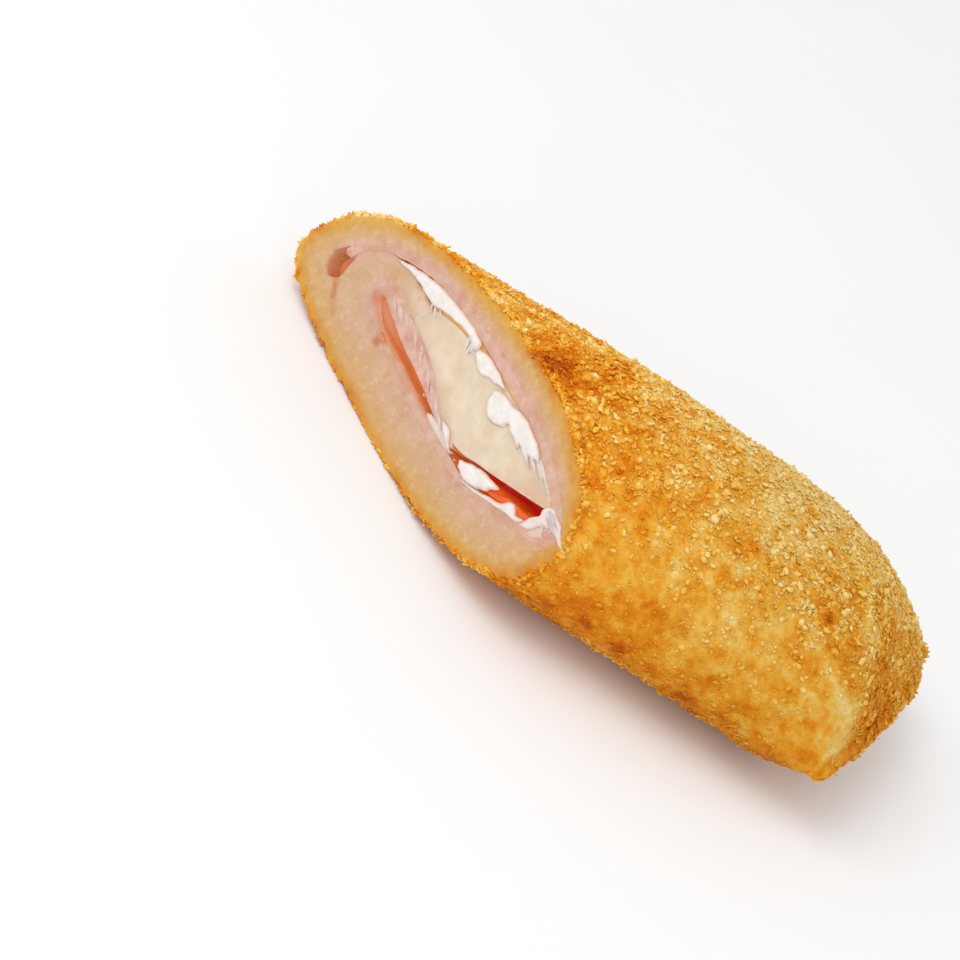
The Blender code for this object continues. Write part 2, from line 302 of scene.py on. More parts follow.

# Pink and orange seams where the dough is thin or torn, painted glow standing in for light that
# comes through them: from, to, width and strength
PAINTED_GLOWS = (
    (-18.6, -4.2, -16.4, -6.4, 0.45, 0.70),
    (-16.4, -6.4, -14.6, -7.8, 0.40, 0.35),
    (-8.7, -1.7, -8.5, -2.6, 0.85, 0.80),
    (-8.9, -2.6, -8.7, -4.0, 0.60, 0.85),
    (-8.0, -1.9, -5.0, -2.0, 0.50, 0.80),
    (-5.0, -2.0, 2.0, -2.6, 0.42, 0.60),
    (-13.2, -0.1, -9.2, -1.4, 1.15, 0.72),
    (-21.2, -2.4, -20.0, -0.6, 0.35, 0.60),
    (-21.0, -3.6, -19.4, -5.3, 0.30, 0.45),
    (-19.3, 2.0, -18.0, 4.8, 0.60, 0.28),
    (-17.0, 6.0, -11.5, 9.6, 0.50, 0.22),
    (20.6, 6.0, 20.9, 3.0, 0.80, 0.28),
    (18.5, 1.0, 13.5, -1.5, 0.70, 0.20),
    (-6.5, -2.9, -1.5, -3.3, 0.60, 0.30),
)


def room_outline():
    """The room inside the dough: round the ham, then back over the dough's hooked inner end."""
    path = smooth_path(HAM_PATH[1 : HAM_LAYER_OVER_HOOK + 1])
    outer = path[:, :2] + left_of(path) * (path[:, 2:3] + ROOM_GAP)
    hook = smooth_path([outer[-1], *HOOK, outer[0]])[1:-1]
    return np.vstack([outer, hook])


def filling_ring(points, share, stands_out=0.0):
    """An outline of the cut, carried along inside the roll as the roll's size changes."""
    y, z = -points[:, 0], points[:, 1]
    x = between(cut_x(y, z), FILLING_END + END_SLANT * y, share)
    at_cut = half_sizes(cut_x(y, z))
    here = half_sizes(x)
    y = y * np.where(y < 0, here[0] / at_cut[0], here[1] / at_cut[1])
    z = z * np.where(z > 0, here[2] / at_cut[2], here[3] / at_cut[3])
    x = between(cut_x(y, z) - stands_out, FILLING_END + END_SLANT * y, share)
    return np.column_stack([x, y, z])


def on_cut(points, stands_out=0.0):
    """Places on the cut plane, or in front of it along its normal."""
    y, z = -points[:, 0], points[:, 1]
    flat = np.column_stack([cut_x(y, z), y, z])
    return flat + CUT_NORMAL * np.reshape(stands_out, (-1, 1))


def inside(points, outline):
    """Which points lie inside a closed outline."""
    x, y = points[:, 0][:, None], points[:, 1][:, None]
    ax, ay = outline[:, 0][None], outline[:, 1][None]
    bx, by = np.roll(outline[:, 0], -1)[None], np.roll(outline[:, 1], -1)[None]
    crosses = (ay > y) != (by > y)
    rise = np.where(by == ay, 1e-12, by - ay)
    return (crosses & (x < (bx - ax) * (y - ay) / rise + ax)).sum(1) % 2 == 1


def in_region(points, outline, holes):
    """Which points lie inside an outline and outside its holes."""
    keep = inside(points, outline)
    for hole in holes:
        keep &= ~inside(points, hole)
    return keep


def distance_to(points, *outlines):
    """Distance from each point to the nearest place of some closed outlines."""
    nearest = np.full(len(points), 1e9)
    for outline in outlines:
        for a, b in zip(outline, np.roll(outline, -1, axis=0)):
            run = b - a
            share = np.clip((points - a) @ run / max(run @ run, 1e-12), 0, 1)
            away = np.linalg.norm(points - a - share[:, None] * run, axis=1)
            nearest = np.minimum(nearest, away)
    return nearest


def to_metres(points):
    return (np.asarray(points) + CUT_CENTRE) * 0.001


def add_grid(mesh, rings):
    """Lays a grid over closed rings of points, and gives its rows of vertices."""
    rows, columns = rings.shape[:2]
    grid = bmesh.ops.create_grid(mesh, x_segments=columns, y_segments=rows - 1, size=1.0)
    made = grid["verts"]
    points = np.concatenate([rings, rings[:, :1]], axis=1).reshape(-1, 3)
    for vert, point in zip(made, to_metres(points)):
        vert.co = point
    table = [made[i * (columns + 1) : (i + 1) * (columns + 1)] for i in range(rows)]
    bmesh.ops.weld_verts(mesh, targetmap={row[-1]: row[0] for row in table})
    return [row[:-1] for row in table]


def scattered_inside(outline, holes, spacing, clear):
    """Points of a shaken grid inside an outline, clear of its edge and of its holes."""
    low, high = outline.min(0), outline.max(0)
    grid = np.stack(
        np.meshgrid(np.arange(low[0], high[0], spacing), np.arange(low[1], high[1], spacing)), -1
    ).reshape(-1, 2)
    grid = grid + rng.uniform(-0.3, 0.3, grid.shape) * spacing
    grid = grid[in_region(grid, outline, holes)]
    return grid[distance_to(grid, outline, *holes) > clear]


def triangulated(points, edges):
    """Joins points into triangles that keep to the edges given."""
    points = [Vector(point) for point in points]
    placed, _, triangles, *_ = delaunay_2d_cdt(points, edges, [], 0, 1e-6)
    return np.array(placed), np.array(triangles)


def add_face(mesh, outline, holes, spacing, raised):
    """Fills an outline of the cut with small triangles, each point raised by a function of it.

    A triangle that would reach from edge to edge gets one more point in its middle."""
    loops = [outline, *holes]
    points = np.vstack([*loops, scattered_inside(outline, holes, spacing, 0.45 * spacing)])
    edges, start = [], 0
    for loop in loops:
        count = len(loop)
        edges += [(start + i, start + (i + 1) % count) for i in range(count)]
        start += count
    placed, triangles = triangulated(points, edges)
    sides = np.vstack([triangles[:, :2], triangles[:, 1:], triangles[:, ::2]])
    sides = np.sort(sides, axis=1)
    middles = placed[np.unique(sides[sides.max(1) < start], axis=0)].mean(1)
    clear = in_region(middles, outline, holes) & (distance_to(middles, *loops) > MIDDLE_CLEAR)
    placed, triangles = triangulated(np.vstack([points, middles[clear]]), edges)
    a, b, c = np.moveaxis(placed[triangles], 1, 0)
    area = np.abs((b - a)[:, 0] * (c - a)[:, 1] - (b - a)[:, 1] * (c - a)[:, 0])
    keep = in_region(placed[triangles].mean(1), outline, holes) & (area > SLIVER)
    edge_distance = distance_to(placed, *loops)
    edge_distance[edge_distance < ON_EDGE] = 0.0
    places = to_metres(on_cut(placed, raised(placed, edge_distance)))
    verts = [mesh.verts.new(point) for point in places]
    for triangle in triangles[keep]:
        mesh.faces.new([verts[i] for i in triangle])
    return verts, placed


def set_down(name, data, material):
    """Puts a mesh into the scene as a smooth piece of one material."""
    data.shade_smooth()
    data.materials.append(material)
    made = bpy.data.objects.new(name, data)
    bpy.context.scene.collection.objects.link(made)
    return made


def finished(name, mesh, material, smooth_angle=180):
    """Makes a piece of a mesh, with its edges sharp where they turn more than the angle."""
    mesh.normal_update()
    data = bpy.data.meshes.new(name)
    mesh.to_mesh(data)
    mesh.free()
    made = set_down(name, data, material)
    if smooth_angle < 180:
        data.set_sharp_from_angle(angle=math.radians(smooth_angle))
    return made


def colour(red, green, blue):
    """A colour given as a screen shows it, for a shader."""
    shares = np.array([red, green, blue]) / 255
    linear = np.where(shares <= 0.04045, shares / 12.92, ((shares + 0.055) / 1.055) ** 2.4)
    return (*linear.tolist(), 1.0)


class Nodes:
    """Short ways to add nodes to a material or a node group."""

    def __init__(self, tree):
        self.tree = tree

    def node(self, kind, values=(), **settings):
        made = self.tree.nodes.new(kind)
        for key, value in settings.items():
            setattr(made, key, value)
        for key, value in dict(values).items():
            if hasattr(value, "is_linked"):
                self.tree.links.new(value, made.inputs[key])
            else:
                made.inputs[key].default_value = value
        return made

    def attribute(self, name):
        return self.node("ShaderNodeAttribute", attribute_name=name).outputs["Fac"]

    def speckle(self, per_mm, detail=3.0, stretch=(1.0, 1.0, 1.0)):
        """Noise over the surface, with this many lumps a millimetre."""
        place = self.node("ShaderNodeTexCoord").outputs["Object"]
        moved = self.node("ShaderNodeMapping", {"Vector": place, "Scale": stretch})
        return self.node(
            "ShaderNodeTexNoise",
            {"Vector": moved.outputs[0], "Scale": per_mm * 1000, "Detail": detail},
        ).outputs["Fac"]

    def ranged(self, value, low, high, to_low=0.0, to_high=1.0):
        """The value, moved from one range to another and kept within it."""
        limits = {"From Min": low, "From Max": high, "To Min": to_low, "To Max": to_high}
        return self.node("ShaderNodeMapRange", {"Value": value, **limits}).outputs["Result"]

    def times(self, a, b):
        return self.node("ShaderNodeMath", {0: a, 1: b}, operation="MULTIPLY").outputs[0]

    def plus(self, a, b):
        return self.node("ShaderNodeMath", {0: a, 1: b}, operation="ADD").outputs[0]

    def mixed(self, share, a, b, how="MIX"):
        """From colour a to colour b by their share."""
        values = {0: share, 6: a, 7: b}
        return self.node("ShaderNodeMix", values, blend_type=how, data_type="RGBA").outputs[2]

    def ramp(self, value, *stops):
        """A colour that runs through the stops, each a position and a colour."""
        made = self.node("ShaderNodeValToRGB", {0: value})
        while len(made.color_ramp.elements) < len(stops):
            made.color_ramp.elements.new(0.5)
        for element, (position, shade) in zip(made.color_ramp.elements, stops):
            element.position = position
            element.color = shade
        return made.outputs["Color"]


class Finish(Nodes):
    """A material being made, with its shader."""

    def __init__(self, name, roughness, shine=0.5, subsurface=0.0, radius=(1, 1, 1), scale=0.0):
        self.material = bpy.data.materials.new(name)
        self.material.use_nodes = True
        super().__init__(self.material.node_tree)
        self.shader = self.tree.nodes["Principled BSDF"]
        self.shader.inputs["Roughness"].default_value = roughness
        self.shader.inputs["Specular IOR Level"].default_value = shine
        self.shader.inputs["Subsurface Weight"].default_value = subsurface
        self.shader.inputs["Subsurface Radius"].default_value = radius
        self.shader.inputs["Subsurface Scale"].default_value = scale

    def led_to(self, value, socket):
        self.tree.links.new(value, self.shader.inputs[socket])

    def painted(self, value):
        self.led_to(value, "Base Color")

    def emits_painted_glow(self, value, strength):
        """Painted glow: the surface gives off this colour faintly, standing in for light that
        comes through thin food from behind.
        """
        self.led_to(value, "Emission Color")
        self.shader.inputs["Emission Strength"].default_value = strength

    def bumped(self, height, depth_mm, strength=1.0):
        bump = self.node(
            "ShaderNodeBump",
            {"Height": height, "Distance": depth_mm * 0.001, "Strength": strength},
        )
        self.led_to(bump.outputs["Normal"], "Normal")

    def group(self, tree, values):
        return self.node("ShaderNodeGroup", values, node_tree=tree).outputs[0]


def new_group(name, inputs, make):
    """A shader node group that puts out one colour, made by a function of its inputs."""
    tree = bpy.data.node_groups.new(name, "ShaderNodeTree")
    for label in inputs:
        tree.interface.new_socket(label, in_out="INPUT", socket_type="NodeSocketFloat")
    tree.interface.new_socket("Color", in_out="OUTPUT", socket_type="NodeSocketColor")
    nodes = Nodes(tree)
    entry = nodes.node("NodeGroupInput")
    made = make(nodes, *[entry.outputs[label] for label in inputs])
    nodes.node("NodeGroupOutput", {"Color": made})
    return tree


def fried_colour(nodes, lift, browning_and_shade, tone):
    """Breadcrumb crust: deep orange between the crumbs, golden on them, pale at their tips,
    partly the crumbs' own colour and partly painted shade in the gaps and painted light on what
    stands out; a little duller towards the closed end.
    """
    height = nodes.plus(nodes.times(lift, 0.32), nodes.times(tone, 0.28))
    height = nodes.plus(height, nodes.times(browning_and_shade, -0.95))
    height = nodes.plus(height, nodes.times(nodes.speckle(0.35, 4.0), 0.95))
    height = nodes.plus(height, nodes.times(nodes.speckle(0.9, 3.0), 0.50))
    shade = nodes.ramp(
        height,
        (0.0, colour(178, 82, 4)),
        (0.2, colour(202, 108, 10)),
        (0.4, colour(218, 136, 18)),
        (0.6, colour(227, 162, 48)),
        (0.8, colour(232, 186, 88)),
        (1.0, colour(238, 208, 135)),
    )
    place = nodes.node("ShaderNodeTexCoord").outputs["Object"]
    along = nodes.node("ShaderNodeSeparateXYZ", {0: place}).outputs["X"]
    to_closed_end = nodes.ranged(along, -0.012, 0.024)
    return nodes.mixed(to_closed_end, shade, colour(237, 237, 234), "MULTIPLY")


def cooked_colour(nodes, pink, glow, rim):
    """Cooked dough, cream to tan and yellower outward, turning ham pink and then orange, the
    orange being painted glow for light that comes through.
    """
    clouds = nodes.ranged(nodes.speckle(0.35, 3.0), 0.35, 0.68)
    inner = nodes.mixed(clouds, colour(205, 169, 138), colour(197, 159, 121))
    clouds = nodes.ranged(nodes.speckle(0.5, 3.0), 0.35, 0.68)
    outer = nodes.mixed(clouds, colour(207, 165, 105), colour(200, 154, 90))
    blend = nodes.plus(rim, nodes.times(nodes.speckle(0.3, 3.0), 2.0))
    cream = nodes.mixed(nodes.ranged(blend, 2.6, 6.0), outer, inner)
    cream = nodes.mixed(nodes.ranged(pink, -0.8, 0.0, 0.9, 0.0), cream, colour(217, 190, 172))
    flecks = nodes.ranged(nodes.speckle(0.9, 4.0), 0.54, 0.70, 0.0, 0.35)
    cream = nodes.mixed(flecks, cream, colour(224, 196, 166))
    pores = nodes.ranged(nodes.speckle(0.7, 4.0), 0.44, 0.28, 0.0, 0.4)
    cream = nodes.mixed(pores, cream, colour(184, 138, 98))
    streaks = nodes.ranged(nodes.speckle(0.45, 4.0), 0.34, 0.66)
    ham = nodes.mixed(streaks, colour(198, 142, 127), colour(216, 176, 163))
    shade = nodes.mixed(nodes.ranged(pink, 0.0, 1.0), cream, ham)
    # Painted glow: orange where light would come through thin dough and ham, and in the open
    # places.
    return nodes.mixed(glow, shade, colour(186, 104, 50))


fried_crust = new_group("fried crust", ("Lift", "Browning_and_shade", "Tone"), fried_colour)
cooked_dough = new_group("cooked dough and ham", ("Pink", "Glow", "Rim"), cooked_colour)


# Spots where the crumbs toasted darker: place, size and strength
TOASTED = (
    (12.6, -1.4, 16.3, 5.0, 0.45),
    (20.0, 5.0, 17.0, 3.5, 0.30),
    (28.6, 0.4, 17.4, 1.3, 0.45),
    (29.6, -7.3, 16.8, 0.8, 0.40),
    (31.9, 8.9, 16.6, 0.8, 0.50),
    (45.4, 10.2, 16.4, 1.2, 0.45),
    (54.4, 3.0, 17.2, 1.5, 0.40),
    (48.7, -11.4, 15.6, 0.7, 0.45),
    (62.2, -12.6, 14.1, 1.1, 0.75),
    (29.9, -21.1, 8.5, 1.2, 0.30),
    (40.9, -22.0, -3.6, 1.8, 0.35),
    (42.4, -21.8, 5.1, 2.6, 0.35),
    (34.9, -22.5, -2.6, 2.1, 0.25),
    (52.8, -20.7, -4.7, 2.2, 0.30),
    (-14.4, 17.0, 11.0, 3.2, 0.35),
    (-8.0, 12.0, 13.2, 2.2, 0.25),
    (-28.1, 25.0, -3.2, 0.9, 0.80),
)


def browning_and_shade(points):
    """How toasted the crust is at a place, from 0 for pale to 1 for deep orange, with painted
    shade and light mixed in: browner on the low near side and beyond the fold, paler over the
    far top and along the fold's ridge.
    """
    points = np.asarray(points, float)
    x, y, z = points.T
    # Painted shade and light: browner on the low near side, which faces away from the light and
    # is partly toasted darker too, and paler over the far top, where the light falls.
    low_near_side = eased(-z - 0.10 * y, -7.0, 8.0)
    far_top = eased(y + 0.8 * z, 6.0, 22.0)
    closed_end = eased(x, 48.0, 72.0)
    shade = 0.40 + (0.32 - 0.24 * eased(x, 20.0, 50.0)) * low_near_side - 0.16 * far_top
    shade = shade - 0.18 * eased(x, 30.0, 50.0) * (1 - low_near_side) + 0.14 * closed_end
    shade = shade + 0.14 * eased(-x, -30.0, -12.0) * eased(z, 4.0, 12.0)
    shade = shade + 0.16 * mottle(points, 9.0, 3.0) + 0.12 * mottle(points, 4.0, 8.0)
    at_cut = np.exp(-np.maximum(x - cut_x(y, z), 0) / 1.5)
    shade = shade - 0.20 * at_cut * eased(-z, 0.0, 8.0)
    tip = np.exp(-(((x - 74.0) / 6.0) ** 2 + ((y + 20.0) / 5.0) ** 2))
    # Painted shade on the facet beyond the fold, and a painted highlight along the fold's ridge.
    run = (FOLD_TO - FOLD_FROM) / np.linalg.norm(FOLD_TO - FOLD_FROM)
    behind_fold = (x - FOLD_FROM[0]) * -run[1] + (y - FOLD_FROM[1]) * run[0]
    on_fold = np.exp(-((behind_fold / 1.6) ** 2)) * eased(x, 63.0, 66.0)
    shade = shade + 0.13 * eased(behind_fold, 0.0, 4.0) * eased(-y, -4.0, 10.0)
    shade = shade - 0.26 * tip - 0.12 * on_fold
    ragged = 1 + 0.5 * mottle(points, 1.1, 17.0)
    for *place, size, strength in TOASTED:
        away = np.linalg.norm(points - np.array(place), axis=1)
        shade = shade + strength * np.exp(-((away / (size * ragged)) ** 2))
    return np.clip(shade, 0, 1)


angles = evenly_spaced_angles(CRUST_AROUND)
shares = 1 - (1 - np.linspace(0, 1, CRUST_ALONG)) ** CRUST_CLOSER_AT_END
crust_rings = np.array([skin_ring(share, angles) for share in shares])
lip_rings = [lip_ring(crust_rings[-1], math.radians(turn)) for turn in range(10, 89, 13)]
crust_points = np.concatenate([crust_rings, lip_rings])

wrapper_mesh = bmesh.new()
cut_layer, rim_layer, pink_layer, painted_glow_layer, lift_layer, browning_and_shade_layer = (
    wrapper_mesh.verts.layers.float.new(name)
    for name in ("cut", "rim", "pink", "glow", "lift", "browning_and_shade")
)

crust_rows = add_grid(wrapper_mesh, crust_points)
flat_crust = crust_points.reshape(-1, 3)
crust_browning_and_shade = browning_and_shade(flat_crust).reshape(crust_points.shape[:2])
# How far the crust stands out, which the material turns into painted shade in the hollows and
# painted light on the lumps.
crust_lift = np.clip(0.35 + 1.3 * crust_relief(flat_crust), 0, 1).reshape(crust_points.shape[:2])
for row, toasts_and_shades, lifts in zip(crust_rows, crust_browning_and_shade, crust_lift):
    for vert, toast_and_shade, lift in zip(row, toasts_and_shades, lifts):
        vert[browning_and_shade_layer] = toast_and_shade
        vert[lift_layer] = lift
lip = crust_rows[-1]
count = len(lip)
for i in range(count // 2):
    corners = [lip[i], lip[i + 1], lip[(count - i - 1) % count], lip[(count - i) % count]]
    wrapper_mesh.faces.new(list(dict.fromkeys(corners)))

ham_path = smooth_path(HAM_PATH)


def pink_at(points):
    """How pink the cut is at a place: the ham, and the dough that took its colour."""
    pink = np.zeros(len(points))
    wander = 0.35 * mottle(points, 1.6, 31.0)
    for s, z, half, _, strength in ham_path:
        away = np.hypot(points[:, 0] - s, points[:, 1] - z)
        beyond = np.maximum(away - 0.6 * half + wander, 0)
        pink = np.maximum(pink, strength * np.exp(-((beyond / 1.25) ** 2)))
    return pink


def near_segment(points, a, b):
    run = np.array(b) - np.array(a)
    share = np.clip((points - a) @ run / (run @ run), 0, 1)
    return np.linalg.norm(points - a - share[:, None] * run, axis=1)


def painted_glow_at(points):
    """How orange the cut is at a place, in the seams and along the open slit: painted glow,
    standing in for light that comes through.
    """
    glow = np.zeros(len(points))
    for s0, z0, s1, z1, width, strength in PAINTED_GLOWS:
        beside = near_segment(points, (s0, z0), (s1, z1))
        glow = np.maximum(glow, strength * np.exp(-((beside / width) ** 3)))
    return glow


room = room_outline()
room_shares = np.array([0, 0.004, 0.012, 0.03, 0.06, 0.1, 0.16, 0.25, 0.37, 0.52, 0.75, 1.0])
room_rings = np.array([filling_ring(room, share) for share in room_shares])
room_rows = add_grid(wrapper_mesh, room_rings)
# The room's walls: painted glow, more orange the deeper they lie behind the cut.
for share, row in zip(room_shares, room_rows):
    for vert in row:
        vert[cut_layer] = 1.0
        vert[rim_layer] = FAR_FROM_RIM
        vert[pink_layer] = ROOM_PINK
        vert[painted_glow_layer] = min(ROOM_PAINTED_GLOW, 0.3 + 60 * share)
        vert[lift_layer] = CUT_LIFT
wrapper_mesh.faces.new(room_rows[-1])

cut_edge = np.column_stack([-crust_rings[0][:, 1], crust_rings[0][:, 2]])


def dough_relief(points, edge_distance):
    """Fine unevenness of the cut dough, none at its edges."""
    bumps = 0.10 * mottle(points, 2.6, 2.0) + 0.06 * mottle(points, 0.9, 4.0)
    torn = 0.45 * np.clip(painted_glow_at(points) - 0.4, 0, 1)
    return (bumps + 0.03 - torn) * eased(edge_distance, 0.5, 1.6)


def paleness(points):
    """How pale the dough is where its inner end lies against the cheese."""
    s, z = points.T
    return 0.9 * np.exp(-(((s + 8.6) / 3.2) ** 2 + ((z - 4.9) / 1.6) ** 2))


face_verts, face_points = add_face(wrapper_mesh, cut_edge, [room], FACE_SPACING, dough_relief)
face_values = zip(
    face_verts,
    distance_to(face_points, cut_edge),
    pink_at(face_points) - paleness(face_points),
    painted_glow_at(face_points),
    browning_and_shade(on_cut(face_points)),
)
for vert, rim, pink, glow, toast_and_shade in face_values:
    vert[cut_layer] = 1.0
    vert[rim_layer] = rim
    vert[pink_layer] = pink
    vert[painted_glow_layer] = glow
    vert[browning_and_shade_layer] = toast_and_shade
    vert[lift_layer] = CUT_LIFT
bmesh.ops.remove_doubles(
    wrapper_mesh, verts=crust_rows[0] + room_rows[0] + face_verts, dist=1e-6
)
bmesh.ops.recalc_face_normals(wrapper_mesh, faces=wrapper_mesh.faces)

dough = Finish(
    "crumb_crust_and_dough", 0.5, shine=0.08, subsurface=0.35, radius=(1.0, 0.62, 0.38),
    scale=0.0012,
)
grain = dough.speckle(1.1, 4.0)
rim = dough.attribute("rim")
crust_colour = dough.group(
    fried_crust,
    {
        "Lift": dough.attribute("lift"),
        "Browning_and_shade": dough.attribute("browning_and_shade"),
        "Tone": dough.speckle(2.6),
    },
)
cream = dough.group(
    cooked_dough,
    {"Pink": dough.attribute("pink"), "Glow": dough.attribute("glow"), "Rim": rim},
)
yellow_rim = dough.ranged(
    dough.plus(rim, dough.times(dough.speckle(0.6), -2.2)), -0.6, 0.8, 0.8, 0.0
)
cream = dough.mixed(yellow_rim, cream, colour(194, 148, 70))
ragged_rim = dough.plus(dough.times(grain, -1.7), dough.times(dough.speckle(0.4), -1.2))
crust_edge = dough.ranged(dough.plus(rim, ragged_rim), -0.95, 0.1, 1.0, 0.0)
cut_crust = dough.mixed(0.55, crust_colour, colour(188, 136, 62))
cream = dough.mixed(crust_edge, cream, cut_crust)
on_cut_face = dough.ranged(dough.attribute("cut"), 0.4, 0.6)
dough.painted(dough.mixed(on_cut_face, crust_colour, cream))
dough.bumped(dough.plus(grain, dough.speckle(2.6, 3.0)), depth_mm=0.24, strength=0.7)
softness = dough.times(on_cut_face, dough.ranged(rim, 0.3, 2.5, 0.04, 0.35))
dough.led_to(softness, "Subsurface Weight")
dough.led_to(dough.ranged(on_cut_face, 0.0, 1.0, 0.08, 0.28), "Specular IOR Level")

wrapper = finished("rolled_dough", wrapper_mesh, dough.material, smooth_angle=55)
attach(wrapper, "root")
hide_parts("wrapper")


# The ham is one thin slice of pink cooked ham, laid on the dough and rolled up with it. The
# knife drew its edge back a little and left it wavy and streaked along the slice.
# The floors of its open places, shallow sheets coloured with painted glow and painted shade, and
# how deep the slit's is along it
SLIT_FLOOR = (
    (-14.4, 0.2), (-13.2, 1.6), (-10.0, 0.9), (-6.0, 0.1), (-2.0, -0.9), (2.6, -1.8),
    (3.2, -2.9), (0.0, -3.3), (-4.0, -3.0), (-8.6, -2.8), (-10.4, -2.6), (-13.2, -1.6),
)
SLIT_LEVELS = ((-13.0, -0.30), (-9.5, -0.45), (-6.5, -0.95), (3.0, -1.0))
POCKET_FLOOR = (
    (-22.0, -3.0), (-21.6, -0.8), (-19.9, 0.4), (-18.2, -0.6), (-17.7, -3.8), (-18.8, -5.9),
    (-20.8, -5.6),
)
DEEP_FLOOR = (
    (4.0, -4.5), (4.0, 0.0), (9.0, 3.5), (18.5, 6.5), (19.5, 3.0), (14.0, -2.5),
    (8.0, -5.0),
)

# How far a puddle or a floor goes in behind the cut, and where a layer's rings lie
PUDDLE_BACK = 0.8
LAYER_SHARES = np.array([0, 0.006, 0.016, 0.035, 0.07, 0.12, 0.18, 0.27, 0.4, 0.6, 0.98])


def band(rows, share, spaced_like=None, wave=0.0, thicker=0.0):
    """Outline of a layer that follows a path, its inner side closing the pocket with depth."""
    path = smooth_path(rows, spaced_like)
    closed = eased(depth_of(path, share), 0, POCKET_DEPTH)
    left = left_of(path)
    flat = np.column_stack([path[:, :2], np.full(len(path), 30 * share)])
    outer_wave = wave * mottle(flat, 1.3, 2.0)
    inner_wave = wave * mottle(flat, 1.0, 9.0)
    outer = path[:, :2] + left * (path[:, 2] + thicker + outer_wave)[:, None]
    inner = path[:, :2] - left * (path[:, 2] + inner_wave + path[:, 3] * closed)[:, None]
    forward = np.column_stack([left[:, 1], -left[:, 0]])
    first = path[0, :2] - forward[0] * path[0, 2] * 0.7
    last = path[-1, :2] + forward[-1] * path[-1, 2] * 0.7
    return np.vstack([first, outer, last, inner[::-1]])


def ham_band(share):
    """Outline of the ham, its first end moving over to close the pocket with depth."""
    rows = [list(row) for row in HAM_PATH]
    start = np.array([rows[0][:2]])
    closed = float(eased(depth_of(start, share)[0], 0, POCKET_DEPTH))
    rows[0][:3] = between(np.array(rows[0][:3]), np.array(HAM_POCKET_END), closed)
    return band(rows, share, HAM_PATH, wave=0.14, thicker=0.05)


def closed_curve(points, spacing):
    """A smooth closed outline through a few points."""
    rows = np.array(points, float)
    looped = np.vstack([rows[-1], rows, rows[:2]])
    samples = []
    for i in range(len(rows)):
        length = np.linalg.norm(looped[i + 2] - looped[i + 1])
        samples += curve_span(looped[i : i + 4], length, spacing)
    return np.array(samples)


def dome(edge_distance, rounding):
    """A round rise from 0 at the edge to 1 where the rounding ends."""
    return np.sqrt(1 - (1 - np.clip(edge_distance / rounding, 0, 1)) ** 2)


def add_filling(mesh, outline, depth_shares, raised, stands_out, rounding, spacing):
    """A layer of the filling: its face on the cut with rounded edges, its sides and its end."""
    rings = np.array(
        [filling_ring(outline(share), share, stands_out - rounding) for share in depth_shares]
    )
    rings[0] = on_cut(outline(0.0), (stands_out - rounding) * -CUT_NORMAL[0])
    rows = add_grid(mesh, rings)
    mesh.faces.new(rows[-1])

    def domed(points, edge_distance):
        level = stands_out + rounding * (dome(edge_distance, rounding) - 1)
        return level * -CUT_NORMAL[0] + eased(edge_distance, 0.3, 1.0) * raised(points)

    verts, points = add_face(mesh, outline(0.0), [], spacing, domed)
    return rows, verts, points


def add_puddle(mesh, outline, level, height, rounding, spacing, swell=0.1, wander=0.0):
    """A drop or puddle on the cut: a smooth outline, domed to the front and to the back."""
    edge = closed_curve(outline, spacing)
    edge = edge + 0.5 * rounding * wander * left_of(edge) * mottle(edge, 0.8, 13.0)[:, None]

    def domed(points, edge_distance):
        swelling = swell * eased(edge_distance, 0.0, rounding) * mottle(points, 1.2, 5.0)
        return level + height * dome(edge_distance, rounding) + swelling

    verts, points = add_face(mesh, edge, [], spacing, domed)
    away = distance_to(points, edge)
    places = to_metres(on_cut(points, level - PUDDLE_BACK * dome(away, rounding)))
    behind = [
        mesh.verts.new(place) if apart > ON_EDGE else vert
        for vert, place, apart in zip(verts, places, away)
    ]
    opposite = dict(zip(verts, behind))
    thin = []
    for face in dict.fromkeys(face for vert in verts for face in vert.link_faces):
        back = [opposite[vert] for vert in reversed(face.verts)]
        if set(back) == set(face.verts):
            thin.append(face)
        else:
            mesh.faces.new(back)
    bmesh.ops.delete(mesh, geom=thin, context="FACES")
    made = [*zip(verts, away), *(pair for pair in zip(behind, away) if pair[1] > ON_EDGE)]
    return [(vert, apart) for vert, apart in made if vert.is_valid]


def join_up(mesh, rows, verts):
    """Joins the edge of a layer's face to the first ring of its sides."""
    bmesh.ops.remove_doubles(mesh, verts=rows[0] + verts, dist=2e-6)


def ham_streaks(points):
    """Slanted ridges on the ham over the slit, and hollows where it lets light through."""
    hollow = 1.2 * np.clip(painted_glow_at(points) - 0.35, 0, 1)
    over_slit = eased(points[:, 0], -13.0, -10.0) * eased(-points[:, 0], -7.0, -3.0)
    over_slit = over_slit * eased(points[:, 1], -2.2, -0.6) * eased(-points[:, 1], -4.0, -2.5)
    slanted = points @ np.array([[1.0, 0.5], [-0.5, 1.0]])
    ridges = 0.14 * mottle(slanted * (0.35, 1.0), 0.55, 6.0) + 0.10 * mottle(points, 1.0)
    return 0.02 * mottle(points, 1.4) + over_slit * ridges - hollow


ham_mesh = bmesh.new()
ham_pink, ham_painted_glow, ham_deep_shade = (
    ham_mesh.verts.layers.float.new(name) for name in ("pink", "glow", "deep")
)
rows, verts, points = add_filling(
    ham_mesh, ham_band, LAYER_SHARES, ham_streaks, stands_out=0.015, rounding=0.06, spacing=0.3
)
